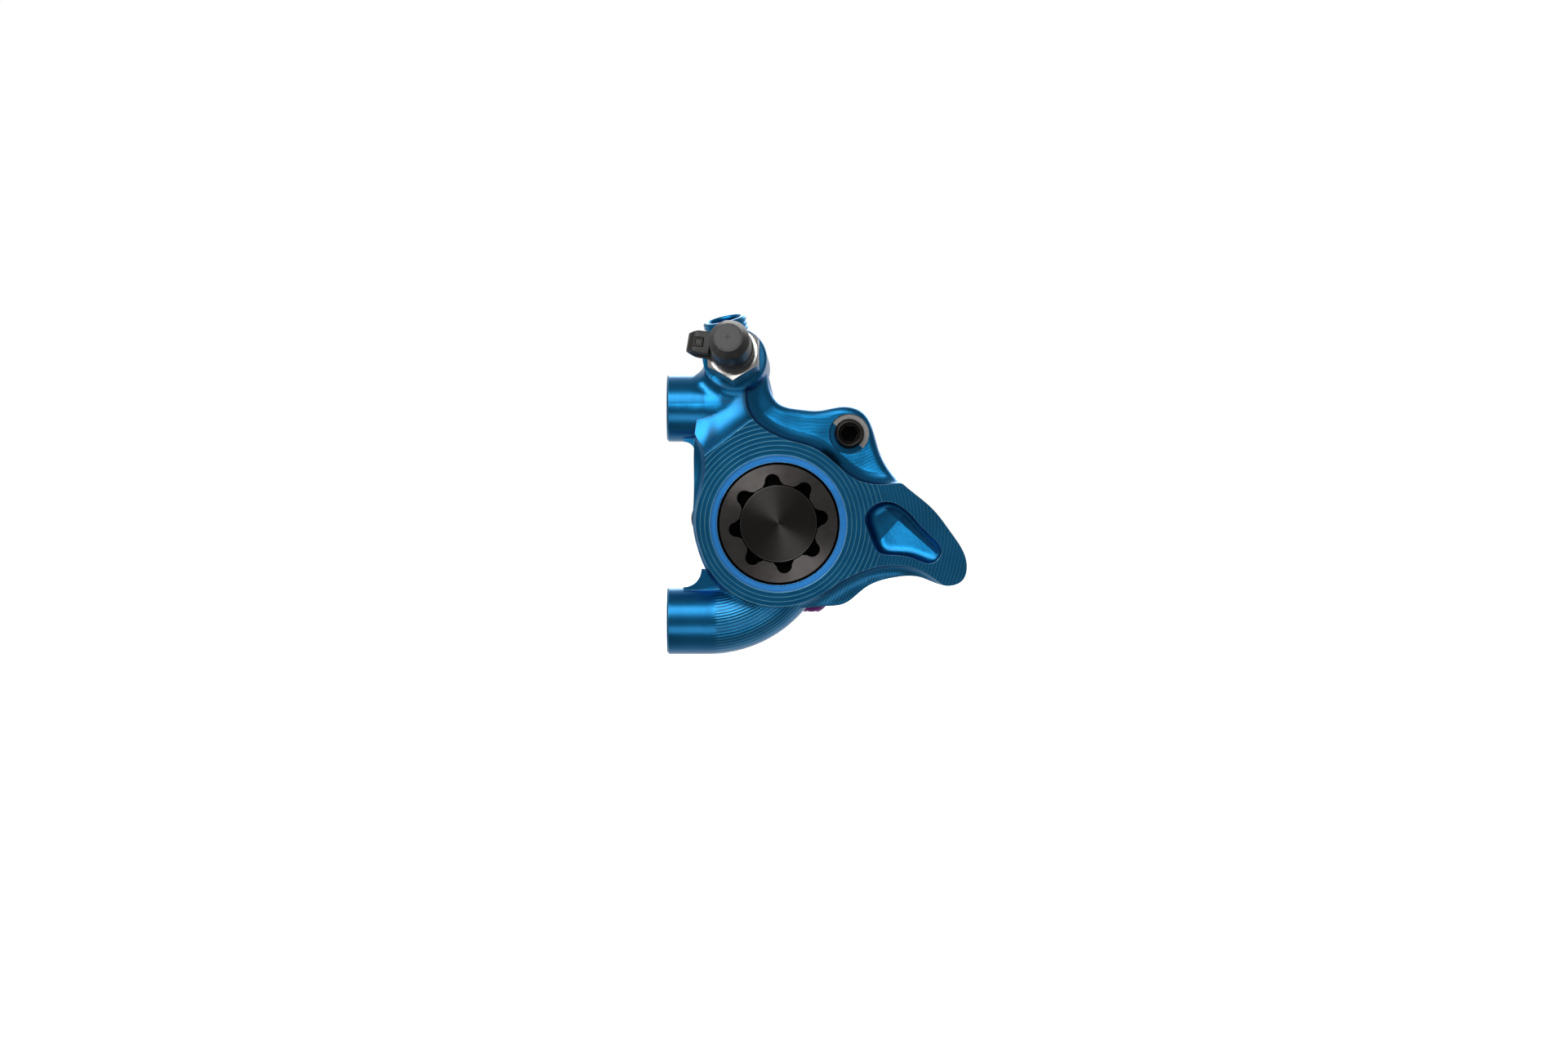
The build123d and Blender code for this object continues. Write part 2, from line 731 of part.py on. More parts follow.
# Pad spring: two forked leaves on the inner faces of the plates, joined by an arch outside the rotor's rim
spring_front = outboard_plate_back + pad_plate_thickness + slide_clearance
spring_back = inboard_plate_back - pad_plate_thickness - slide_clearance
spring_foot = friction_height / 2 + spring_edge_clearance
spring_room = pin_reach - pin_radius - spring_foot
spring_bar_height = spring_bar_share * spring_room
spring_rise = spring_rise_share * spring_room
spring_top = spring_foot + spring_bar_height
prong_middle = friction_half_length + spring_edge_clearance + spring_prong_width / 2
with BuildPart() as pad_spring:
    with BuildSketch(radial_plane(spring_front), radial_plane(spring_back - spring_sheet)):
        with Locations((0, spring_foot)):
            Rectangle(
                2 * prong_middle + spring_prong_width, spring_bar_height, align=(Align.CENTER, Align.MIN)
            )
        with Locations((-prong_middle, spring_top), (prong_middle, spring_top)):
            Rectangle(spring_prong_width, spring_prong_length, align=(Align.CENTER, Align.MAX))
    extrude(amount=-spring_sheet)
    arch_plane = Plane(origin=(bore_x, 0, bore_z), x_dir=(0, 1, 0), z_dir=(radial_z, 0, -radial_x))
    with BuildSketch(arch_plane):
        with BuildLine():
            outer_arch = ThreePointArc(
                (spring_front, spring_top),
                (rotor_plane, spring_top + spring_rise),
                (spring_back, spring_top),
            )
            inner_arch = ThreePointArc(
                (spring_front + spring_sheet, spring_top),
                (rotor_plane, spring_top + spring_rise - spring_sheet),
                (spring_back - spring_sheet, spring_top),
            )
            Line(outer_arch @ 0, inner_arch @ 0)
            Line(outer_arch @ 1, inner_arch @ 1)
        make_face()
    extrude(amount=spring_bridge_half_length, both=True)
pad_spring.part.label = "pad_spring"
export_step(pad_spring.part, "parts/pad_spring.step")

# Bleed nipple: threaded shank with a cone, hexagon with a turned edge, and a barbed spout
hex_base = nipple_seat_gap
hex_top = hex_base + nipple_hex_length
with BuildPart() as hex_blank:
    with BuildSketch(nipple_plane(hex_base)):
        Circle(nipple_hex_flats / math.sqrt(3))
    extrude(amount=nipple_hex_length)
    hex_rim = hex_blank.edges().filter_by(GeomType.CIRCLE).sort_by(Axis.Y)[0]
    chamfer(hex_rim, nipple_hex_chamfer, nipple_hex_chamfer * math.sqrt(3))
with BuildPart() as bleed_nipple:
    with BuildSketch(nipple_plane(hex_base)):
        RegularPolygon(nipple_hex_flats / 2, 6, major_radius=False, rotation=nipple_hex_turn)
    extrude(amount=nipple_hex_length)
    add(hex_blank.part, mode=Mode.INTERSECT)
    with BuildSketch(nipple_plane(hex_base)):
        Circle(nipple_thread_radius)
    extrude(amount=-nipple_thread_length)
    with BuildSketch(nipple_plane(hex_base - nipple_thread_length)):
        Circle(nipple_spout_radius - slide_clearance)
    extrude(amount=-nipple_cone_length / 2, taper=nipple_cone_angle)
    with BuildSketch(nipple_plane(hex_top)):
        Circle(nipple_spout_radius)
    extrude(amount=nipple_spout_length)
    with BuildSketch(nipple_plane(hex_top + nipple_spout_length - nipple_barb_length)):
        Circle(nipple_barb_radius)
    extrude(amount=nipple_barb_length, taper=nipple_barb_angle)
    with Locations(nipple_plane(hex_top + nipple_spout_length)):
        Hole(nipple_bore_radius, depth=nipple_spout_length + nipple_hex_length)
bleed_nipple.part.label = "bleed_nipple"
export_step(bleed_nipple.part, "parts/bleed_nipple.step")

# Rubber dust cap: lip, barrel, and a cone up to a flat tip
cap_base = hex_top + dust_cap_standoff
cap_shoulder = cap_base + dust_cap_lip_length + dust_cap_straight_length
with BuildPart() as dust_cap:
    with BuildSketch(nipple_plane(cap_base)):
        Circle(dust_cap_lip_radius)
    extrude(amount=dust_cap_lip_length)
    with BuildSketch(nipple_plane(cap_base)):
        Circle(dust_cap_radius)
    extrude(amount=dust_cap_lip_length + dust_cap_straight_length)
    with BuildSketch(nipple_plane(cap_shoulder)):
        Circle(dust_cap_radius)
    with BuildSketch(nipple_plane(cap_shoulder + dust_cap_tip_length)):
        Circle(dust_cap_tip_radius)
    loft()
    fillet(dust_cap.faces().sort_by(Axis.Y)[0].edges(), dust_cap_edge_radius)
    with BuildSketch(nipple_plane(cap_base)):
        Circle(nipple_barb_radius + dust_cap_clearance)
    extrude(amount=nipple_spout_length - dust_cap_standoff + dust_cap_clearance, mode=Mode.SUBTRACT)
dust_cap.part.label = "dust_cap"
export_step(dust_cap.part, "parts/dust_cap.step")

# Strap: a ring round the spout under the cap, and a folded tab that comes back to the cap's side
nipple_base = nipple_plane(0)
strap_start = hex_top + strap_ring_clearance
fold_radius = strap_thickness + strap_fold_gap / 2
fold_x = fold_radius - strap_reach
fold_middle = strap_start + fold_radius
upper_leg = strap_start + strap_thickness + strap_fold_gap
with BuildPart() as cap_strap:
    with BuildSketch(Plane(origin=nipple_base.origin, x_dir=nipple_base.x_dir, z_dir=-nipple_base.y_dir)):
        with Locations((fold_x, fold_middle)):
            Circle(fold_radius)
            Circle(strap_fold_gap / 2, mode=Mode.SUBTRACT)
            Rectangle(fold_radius, 2 * fold_radius, align=(Align.MIN, Align.CENTER), mode=Mode.SUBTRACT)
        with Locations((fold_x, strap_start), (fold_x, upper_leg)):
            Rectangle(-fold_x, strap_thickness, align=(Align.MIN, Align.MIN))
    extrude(amount=strap_width / 2, both=True)
    with BuildSketch(nipple_plane(strap_start)):
        RectangleRounded(2 * strap_reach, strap_width, strap_corner_radius)
    extrude(amount=2 * fold_radius, mode=Mode.INTERSECT)
    with BuildSketch(nipple_plane(strap_start)):
        Circle(strap_ring_radius)
    extrude(amount=strap_thickness)
    with BuildSketch(nipple_plane(strap_start)):
        Circle(nipple_spout_radius + strap_ring_clearance)
    extrude(amount=strap_thickness, mode=Mode.SUBTRACT)
    with BuildSketch(nipple_plane(upper_leg)):
        Circle(dust_cap_radius + seat_clearance)
        with Locations((strap_hole_from_fold - strap_reach, 0)):
            Rectangle(strap_hole_size, strap_hole_size)
    extrude(amount=strap_thickness + cut_overrun, mode=Mode.SUBTRACT)
cap_strap.part.label = "cap_strap"
export_step(cap_strap.part, "parts/cap_strap.step")

# Sealing washer and hose connector: a shank in the tower and an open threaded stub above the washer
with BuildPart() as connector_washer:
    with BuildSketch(port_plane(0)):
        Circle(connector_washer_radius)
        Circle(connector_shank_radius + seat_clearance, mode=Mode.SUBTRACT)
    extrude(amount=connector_washer_thickness)
connector_washer.part.label = "connector_washer"
export_step(connector_washer.part, "parts/connector_washer.step")

stub_top = connector_washer_thickness + connector_length
with BuildPart() as hose_connector:
    with BuildSketch(port_plane(connector_washer_thickness)):
        Circle(connector_radius)
    extrude(amount=connector_length)
    chamfer(hose_connector.edges().sort_by(Axis.Z)[-1], connector_edge_chamfer)
    with BuildSketch(port_plane(connector_washer_thickness)):
        Circle(connector_shank_radius)
    extrude(amount=-(connector_washer_thickness + connector_shank_length - seat_clearance))
    with BuildSketch(port_plane(stub_top)):
        Circle(connector_mouth_radius)
    extrude(amount=-connector_mouth_depth, mode=Mode.SUBTRACT)
    with BuildSketch(port_plane(stub_top)):
        Circle(connector_bore_radius)
    extrude(amount=-(stub_top + connector_shank_length), mode=Mode.SUBTRACT)
hose_connector.part.label = "hose_connector"
export_step(hose_connector.part, "parts/hose_connector.step")

# Transfer plug: a short thread with a ring groove under a domed head with a hexagon socket
dome_angle = math.asin(plug_head_radius / plug_dome_radius)
dome_rise = plug_dome_radius * (1 - math.cos(dome_angle))
dome_middle = (
    plug_dome_radius * math.sin(dome_angle / 2),
    plug_dome_radius * (math.cos(dome_angle) - math.cos(dome_angle / 2)),
)
plug_axis = Plane(origin=(plug_from_feet, plug_depth, plug_seat_z), x_dir=(1, 0, 0), z_dir=(0, -1, 0))
groove_middle = plug_thread_length - plug_ring_wire
with BuildPart() as transfer_plug:
    with BuildSketch(plug_axis):
        with BuildLine():
            dome = ThreePointArc((plug_head_radius, 0), dome_middle, (0, -dome_rise))
            Polyline(dome @ 0, (0, 0), dome @ 1)
        make_face()
    revolve(axis=Axis(plug_axis.origin, (0, 0, 1)))
    with BuildSketch(Plane.XY.offset(plug_seat_z)):
        with Locations((plug_from_feet, plug_depth)):
            Circle(plug_thread_radius)
    extrude(amount=plug_thread_length)
    with BuildSketch(Plane.XY.offset(plug_seat_z + groove_middle - plug_ring_wire / 2)):
        with Locations((plug_from_feet, plug_depth)):
            Circle(plug_head_radius)
            Circle(plug_thread_radius - plug_ring_wire, mode=Mode.SUBTRACT)
    extrude(amount=plug_ring_wire, mode=Mode.SUBTRACT)
    with BuildSketch(Plane.XY.offset(plug_seat_z - dome_rise)):
        with Locations((plug_from_feet, plug_depth)):
            RegularPolygon(plug_socket_flats / 2, 6, major_radius=False)
    extrude(amount=plug_socket_depth, mode=Mode.SUBTRACT)
transfer_plug.part.label = "transfer_plug"
export_step(transfer_plug.part, "parts/transfer_plug.step")

with BuildPart(Plane.XY.offset(plug_seat_z + groove_middle)) as transfer_plug_o_ring:
    with Locations((plug_from_feet, plug_depth)):
        Torus(plug_thread_radius - plug_ring_wire / 2, plug_ring_wire / 2 - slide_clearance)
transfer_plug_o_ring.part.label = "transfer_plug_o_ring"
export_step(transfer_plug_o_ring.part, "parts/transfer_plug_o_ring.step")
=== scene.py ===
import math

import bpy
import numpy as np
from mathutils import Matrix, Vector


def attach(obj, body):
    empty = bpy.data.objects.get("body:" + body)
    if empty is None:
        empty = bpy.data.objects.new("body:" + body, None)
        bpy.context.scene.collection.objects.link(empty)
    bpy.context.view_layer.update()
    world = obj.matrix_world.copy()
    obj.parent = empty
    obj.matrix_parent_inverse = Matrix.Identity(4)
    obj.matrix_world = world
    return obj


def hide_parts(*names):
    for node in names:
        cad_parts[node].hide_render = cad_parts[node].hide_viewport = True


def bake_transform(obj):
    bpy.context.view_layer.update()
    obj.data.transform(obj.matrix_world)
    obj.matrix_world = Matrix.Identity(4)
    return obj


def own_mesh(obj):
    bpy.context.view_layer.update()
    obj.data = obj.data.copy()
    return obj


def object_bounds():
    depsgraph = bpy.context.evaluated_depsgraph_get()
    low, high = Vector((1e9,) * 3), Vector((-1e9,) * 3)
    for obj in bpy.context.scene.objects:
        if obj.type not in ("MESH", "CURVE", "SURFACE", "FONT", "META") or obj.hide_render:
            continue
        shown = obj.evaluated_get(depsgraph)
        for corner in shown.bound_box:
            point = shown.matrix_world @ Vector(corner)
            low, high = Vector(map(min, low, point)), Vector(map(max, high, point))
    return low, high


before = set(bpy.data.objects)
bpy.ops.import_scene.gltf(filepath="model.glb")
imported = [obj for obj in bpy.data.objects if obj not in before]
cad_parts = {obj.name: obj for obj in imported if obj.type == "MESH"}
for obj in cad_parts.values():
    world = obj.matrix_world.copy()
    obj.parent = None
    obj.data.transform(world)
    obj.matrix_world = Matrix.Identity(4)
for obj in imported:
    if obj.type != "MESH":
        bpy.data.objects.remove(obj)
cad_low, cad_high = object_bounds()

# Bicycle disc brake caliper: looks. Lengths are written in millimetres and made metres by MM.
MM = 0.001

# Places of the caliper, as in the solids; the scoop's is where its floor's line and ridge cross, and the
# swirl's is the middle of the flange's curved passes
BORE_X, BORE_Z = 17.8, -1.5
PIN_X, PIN_Z = 29.117, 12.881
RAISED_FACE = -8.0
ARM_BEND_X, ARM_BEND_Z = 6.7, -2.36
SCOOP_X, SCOOP_Z = 36.7, -0.9
SWIRL_X, SWIRL_Z = 24.0, 30.0
NIPPLE_SEAT = np.array((10.85, -4.6, 24.84))
NIPPLE_RISE, NIPPLE_SIDE = math.radians(12.8), math.radians(4.0)
PORT_FOOT = np.array((10.94, 9.0, 23.295))
PORT_LEAN, PORT_FORWARD = math.radians(13.0), math.radians(12.0)
PORT_TOWER_TOP = 3.6


def unit(vector):
    """The vector at length one."""
    return np.asarray(vector, float) / np.linalg.norm(vector)


NIPPLE_AXIS = unit(
    (-math.sin(NIPPLE_SIDE), -math.cos(NIPPLE_SIDE) * math.cos(NIPPLE_RISE), math.sin(NIPPLE_RISE))
)
PORT_AXIS = unit((-math.tan(PORT_LEAN), -math.tan(PORT_FORWARD), 1.0))
PORT_TOP = PORT_FOOT + PORT_AXIS * PORT_TOWER_TOP


# ---------------------------------------------------------------- finishes

# Samples of each rounded normal, and the turn of the normal between which an edge shows and is made pale
BEVEL_SAMPLES = 4
EDGE_TURN = 0.02, 0.16


class Finish:
    """A material in the making: its node tree, its shader, and short ways to add nodes."""

    def __init__(self, name):
        self.material = bpy.data.materials.new(name)
        self.material.use_nodes = True
        self.tree = self.material.node_tree
        self.tree.nodes.clear()
        output = self.tree.nodes.new("ShaderNodeOutputMaterial")
        self.shader = self.tree.nodes.new("ShaderNodeBsdfPrincipled")
        self.tree.links.new(self.shader.outputs["BSDF"], output.inputs["Surface"])
        place = self.tree.nodes.new("ShaderNodeTexCoord")
        scale = self.tree.nodes.new("ShaderNodeMapping")
        scale.inputs["Scale"].default_value = (1 / MM, 1 / MM, 1 / MM)
        self.tree.links.new(place.outputs["Object"], scale.inputs["Vector"])
        self.place = scale.outputs["Vector"]

    def feed(self, socket, value):
        """Links a socket to a value, or sets it to a number or colour."""
        if isinstance(value, bpy.types.NodeSocket):
            self.tree.links.new(value, socket)
        else:
            socket.default_value = value

    def math(self, operation, *values):
        """One Math node on numbers or sockets."""
        node = self.tree.nodes.new("ShaderNodeMath")
        node.operation = operation
        for socket, value in zip(node.inputs, values):
            self.feed(socket, value)
        return node.outputs[0]

    def product(self, first, *others):
        """Numbers or sockets multiplied together."""
        for other in others:
            first = self.math("MULTIPLY", first, other)
        return first

    def total(self, first, *others):
        """Numbers or sockets added together."""
        for other in others:
            first = self.math("ADD", first, other)
        return first

    def rest(self, share):
        """What a share leaves of 1."""
        return self.math("SUBTRACT", 1.0, share)

    def vector(self, operation, *values):
        """One Vector Math node on vectors or sockets."""
        node = self.tree.nodes.new("ShaderNodeVectorMath")
        node.operation = operation
        for socket, value in zip(node.inputs, values):
            self.feed(socket, value)
        return node.outputs["Value"] if operation in ("LENGTH", "DOT_PRODUCT") else node.outputs["Vector"]

    def parts(self, vector):
        """The X, Y and Z parts of a vector."""
        node = self.tree.nodes.new("ShaderNodeSeparateXYZ")
        self.feed(node.inputs[0], vector)
        return node.outputs

    def step(self, value, low, high):
        """Rises smoothly from 0 at low to 1 at high."""
        node = self.tree.nodes.new("ShaderNodeMapRange")
        node.interpolation_type = "SMOOTHSTEP"
        for name, number in (("Value", value), ("From Min", low), ("From Max", high)):
            self.feed(node.inputs[name], number)
        return node.outputs["Result"]

    def noise(self, scale, detail=2.0, stretch=(1.0, 1.0, 1.0), place=None):
        """Noise on the place in millimetres: scale is waves per millimetre, and stretch multiplies it by
        direction."""
        node = self.tree.nodes.new("ShaderNodeTexNoise")
        self.feed(node.inputs["Vector"], self.vector("MULTIPLY", place or self.place, stretch))
        node.inputs["Scale"].default_value = scale
        node.inputs["Detail"].default_value = detail
        return node.outputs["Fac"]

    def mix(self, share, first, second):
        """A colour between two, by a share."""
        node = self.tree.nodes.new("ShaderNodeMix")
        node.data_type = "RGBA"
        self.feed(node.inputs["Factor"], share)
        self.feed(node.inputs[6], first)
        self.feed(node.inputs[7], second)
        return node.outputs[2]

    def reach(self, x, z):
        """Distance from an axis along Y through x and z, in millimetres."""
        off = self.vector("SUBTRACT", self.place, (x, 0.0, z))
        return self.vector("LENGTH", self.vector("MULTIPLY", off, (1.0, 0.0, 1.0)))

    def along(self, start, direction):
        """Distance in millimetres from a place towards a direction, both given by X and Z."""
        x, _, z = self.parts(self.place)
        return self.total(self.product(self.math("SUBTRACT", x, start[0]), direction[0]),
                          self.product(self.math("SUBTRACT", z, start[1]), direction[1]))

    def grooves(self, distance, pitch):
        """Dished tool passes: 0 in the middle of each pass and 1 on the ridge between two."""
        share = self.math("FRACT", self.math("DIVIDE", distance, pitch))
        off = self.math("SUBTRACT", share, 0.5)
        return self.product(off, off, 4.0)

    def edges(self, radius):
        """About 1 on sharp edges and 0 on open faces, by how far a rounded normal leaves the plain one."""
        bevel = self.tree.nodes.new("ShaderNodeBevel")
        bevel.samples = BEVEL_SAMPLES
        bevel.inputs["Radius"].default_value = radius * MM
        plain = self.tree.nodes.new("ShaderNodeNewGeometry")
        agreement = self.vector("DOT_PRODUCT", bevel.outputs["Normal"], plain.outputs["Normal"])
        return self.step(self.rest(agreement), *EDGE_TURN)

    def normal(self, height, depth, rounding=0.0):
        """Feeds the shader a normal rounded at edges, then bumped by a height times a depth in millimetres."""
        bump = self.tree.nodes.new("ShaderNodeBump")
        bump.inputs["Strength"].default_value = 1.0
        bump.inputs["Distance"].default_value = depth * MM
        self.feed(bump.inputs["Height"], height)
        if rounding:
            bevel = self.tree.nodes.new("ShaderNodeBevel")
            bevel.samples = BEVEL_SAMPLES
            self.feed(bevel.inputs["Radius"], self.product(rounding, MM))
            self.tree.links.new(bevel.outputs["Normal"], bump.inputs["Normal"])
        self.tree.links.new(bump.outputs["Normal"], self.shader.inputs["Normal"])

    def set(self, **values):
        """Sets or links the shader's own sockets; words are joined by underscores."""
        for name, value in values.items():
            self.feed(self.shader.inputs[name.replace("_", " ")], value)


# Shares of a face's normal along Y between which it starts to count as flat
FLAT = 0.985, 0.998

# Body: radius at which the wide passes give way to the fine ones, and the pitch of each kind of pass
WIDE_PASSES_END = 16.6, 17.6
WIDE_PASS, FINE_PASS, ARM_PASS, FLANGE_PASS = 0.73, 0.54, 0.42, 0.55

# Body: the bore cap's seat, the pad pin's spot face, and the hollow slope's reach and way from the bore
SEAT_RADIUS, SEAT_DEPTH = 10.9, -7.5
SPOT_RADIUS, SPOT_FRONT, SPOT_BACK = 3.2, -2.05, 4.0
HOLLOW_NEAR, HOLLOW_FAR, HOLLOW_WAY = 15.6, 25.0, (-0.602, 0.799)

# Body: bounds along X of the feet, the arm, the hollow slope and the well rounded walls, and bounds in height
# of the arm and the flange; a pair is the range over which one fades out or in
FEET_END, ARM_START, HOLLOW_START, WALL_START = (6.4, 7.0), (7.2, 8.4), (6.0, 9.0), (5.0, 7.0)
ARM_LEVEL, FLANGE_LEVEL = (-8.5, -10.5), (0.0, 4.0)
HOLLOW_MIDDLE, HOLLOW_END = 12.0, 18.0
SCOOP_LEFT, SCOOP_TOP = 32.0, 2.6
WALL_FROM_PIN = 3.4, 4.4

# Body: depth of one unit of height, the rounding of every edge, and what the walls' edges have beyond it
HEIGHT_UNIT, EDGE_ROUNDING, WALL_ROUNDING = 0.018, 0.16, 0.75

# Body: colours of the dye, of the ridges between passes (a painted highlight), of the cap's seat (a painted
# highlight), of edges (partly wear, partly painted edge highlight) and of bare metal
DEEP_DYE, CLEAR_DYE = (0.006, 0.145, 0.335, 1.0), (0.008, 0.175, 0.400, 1.0)
RIDGE_HIGHLIGHT_BLUE, SEAT_HIGHLIGHT_BLUE = (0.150, 0.470, 0.640, 1.0), (0.006, 0.165, 0.480, 1.0)
EDGE_WEAR_HIGHLIGHT_BLUE, BARE_METAL = (0.280, 0.560, 0.740, 1.0), (0.66, 0.65, 0.63, 1.0)


def blue_anodised_body():
    """Milled and anodised aluminium: tool passes round the bore, turned feet, floors that lean a little, and a
    bare crescent by the pad pin."""
    f = Finish("blue_anodised_body")
    x, y, z = f.parts(f.place)
    face_y = f.parts(f.tree.nodes.new("ShaderNodeNewGeometry").outputs["True Normal"])[1]
    to_front = f.product(face_y, -1.0)
    flat_front, flat_back = f.step(to_front, *FLAT), f.step(face_y, *FLAT)
    raised = f.math("LESS_THAN", y, RAISED_FACE + 0.15)
    lower = f.rest(raised)
    on_front = f.product(flat_front, raised)
    from_bore, from_pin = f.reach(BORE_X, BORE_Z), f.reach(PIN_X, PIN_Z)
    from_bend = f.reach(ARM_BEND_X, ARM_BEND_Z)
    seat_ring = f.product(f.math("LESS_THAN", from_bore, SEAT_RADIUS), f.math("LESS_THAN", y, SEAT_DEPTH))

    # tool passes: wide near the bore, fine and faint on the fin
    near = f.rest(f.step(from_bore, *WIDE_PASSES_END))
    far = f.rest(near)
    wide, fine = f.grooves(from_bore, WIDE_PASS), f.grooves(from_bore, FINE_PASS)
    milled = f.product(f.math("MAXIMUM", on_front, flat_back), f.rest(seat_ring))
    passes = f.product(f.total(f.product(wide, near), f.product(fine, far, 0.35)), milled)
    uneven = f.step(f.noise(0.35, 3.0), 0.15, 0.65)
    lines = f.total(f.product(f.step(wide, 0.50, 0.92), near),
                    f.product(f.step(fine, 0.20, 0.95), far, 0.30))
    lines = f.product(lines, milled, f.total(0.45, f.product(uneven, 0.55)))

    # turned feet, and curved passes along the lower arm
    on_feet = f.rest(f.step(x, *FEET_END))
    turning = f.product(f.noise(1.6, 3.0, (1.0, 0.02, 0.02)), on_feet)
    on_arm = f.product(f.step(z, *ARM_LEVEL), f.step(x, *ARM_START), f.rest(on_front))
    arm_grooves = f.grooves(from_bend, ARM_PASS)
    milling = f.product(arm_grooves, on_arm)

    # flange round the pad pin: leans a little, wavers, and carries faint curved passes
    flange = f.product(flat_front, lower, f.step(z, *FLANGE_LEVEL),
                       f.math("GREATER_THAN", from_pin, SPOT_RADIUS + 0.05))
    swirl = f.grooves(f.total(f.reach(SWIRL_X, SWIRL_Z), f.product(f.noise(0.25), 1.2)), FLANGE_PASS)
    slope = f.total(f.product(x, 2.5), f.product(z, -5.5))
    wander = f.product(f.noise(0.10, 2.0, (1.0, 0.0, 1.0)), 32.0)
    flange_form = f.product(f.total(f.product(swirl, 0.2), slope, wander), flange)

    # scoop: its floor leans towards the upper left beyond a line, and again beyond a ridge across it
    floor = f.product(f.step(to_front, 0.90, 0.96), f.math("GREATER_THAN", x, SCOOP_LEFT),
                      f.math("LESS_THAN", z, SCOOP_TOP), lower)
    past_line = f.math("SUBTRACT", f.along((SCOOP_X, SCOOP_Z), (0.746, -0.667)), 0.2)
    past_ridge = f.math("SUBTRACT", f.along((SCOOP_X, SCOOP_Z), (0.667, 0.745)), 0.1)
    lean = f.total(f.product(f.math("MAXIMUM", past_line, 0.0), 12.0),
                   f.product(f.math("MAXIMUM", past_ridge, 0.0), 16.0))
    scratches = f.product(f.noise(3.2, 2.0, (1.0, 1.0, 0.35)), 1.2)
    scoop_form = f.product(f.total(lean, scratches), floor)

    # hollow slope: leans a little along X, which spreads its highlight
    outward = f.along((BORE_X, BORE_Z), HOLLOW_WAY)
    hollow = f.product(f.math("GREATER_THAN", outward, HOLLOW_NEAR),
                       f.math("LESS_THAN", outward, HOLLOW_FAR), lower, f.step(x, *HOLLOW_START),
                       f.math("LESS_THAN", x, HOLLOW_END), f.step(to_front, 0.25, 0.60))
    hollow_form = f.product(f.math("SUBTRACT", x, HOLLOW_MIDDLE), -4.5, hollow)

    height = f.total(passes, f.product(turning, 0.5), f.product(milling, 1.5), flange_form,
                     f.product(f.noise(9.0, 3.0), 0.12), scoop_form, hollow_form)
    wall = f.product(lower, f.step(x, *WALL_START), f.step(from_pin, *WALL_FROM_PIN))
    f.normal(height, HEIGHT_UNIT, rounding=f.total(EDGE_ROUNDING, f.product(wall, WALL_ROUNDING)))

    # dye: paler on the ridges of the passes as a painted highlight, paler on edges as wear and painted edge
    # highlight, and a lighter blue painted in the cap's seat as a painted highlight
    dye = f.mix(f.step(f.noise(0.18), 0.3, 0.7), DEEP_DYE, CLEAR_DYE)
    arm_lines = f.product(f.step(arm_grooves, 0.35, 0.95), on_arm, uneven, 0.55)
    # painted highlight: the ridges of the passes and of the arm's grooves are coloured paler, over the real tool
    # marks in the bump
    dye = f.mix(f.math("MAXIMUM", lines, arm_lines), dye, RIDGE_HIGHLIGHT_BLUE)
    # painted highlight: the cap's seat ring is coloured a lighter blue so that it reads brighter
    dye = f.mix(f.product(seat_ring, 0.95), dye, SEAT_HIGHLIGHT_BLUE)
    # pale edges: partly wear, partly painted edge highlight
    pale_edges = f.product(f.edges(0.20), f.step(f.noise(0.9), 0.1, 0.5), 0.65)
    dye = f.mix(pale_edges, dye, EDGE_WEAR_HIGHLIGHT_BLUE)

    # bare metal in the pad pin's spot face, on its upper right
    spot = f.product(f.math("LESS_THAN", from_pin, SPOT_RADIUS), f.math("GREATER_THAN", y, SPOT_FRONT),
                     f.math("LESS_THAN", y, SPOT_BACK))
    bare = f.product(spot, f.math("GREATER_THAN", f.along((PIN_X, PIN_Z), (0.643, 0.766)), -0.35))
    dye = f.mix(bare, dye, BARE_METAL)
    rough = f.total(0.27, f.product(f.noise(2.5, 4.0), 0.08), f.product(seat_ring, 0.16))
    f.set(Base_Color=dye, Metallic=f.rest(f.product(seat_ring, 0.5)), Roughness=rough,
          Coat_Weight=0.20, Coat_Roughness=0.22)
    return f.material


def blue_anodised_fitting():
    """The hose connector's finer, brighter turned blue."""
    f = Finish("blue_anodised_fitting")
    pale_edges = f.product(f.edges(0.1), f.step(f.noise(1.5), 0.2, 0.6), 0.25)
    dye = f.mix(f.noise(0.6), (0.008, 0.160, 0.360, 1.0), (0.010, 0.190, 0.420, 1.0))
    dye = f.mix(pale_edges, dye, (0.200, 0.460, 0.620, 1.0))
    f.normal(f.noise(14.0, 2.0), 0.004)
    f.set(Base_Color=dye, Metallic=1.0, Roughness=f.total(0.26, f.product(f.noise(5.0), 0.12)))
    return f.material


# Pale ring on a black boss: how far inside its edge it lies, and half its width
RIM_INSIDE, RIM_HALF_WIDTH = 0.06, 0.05


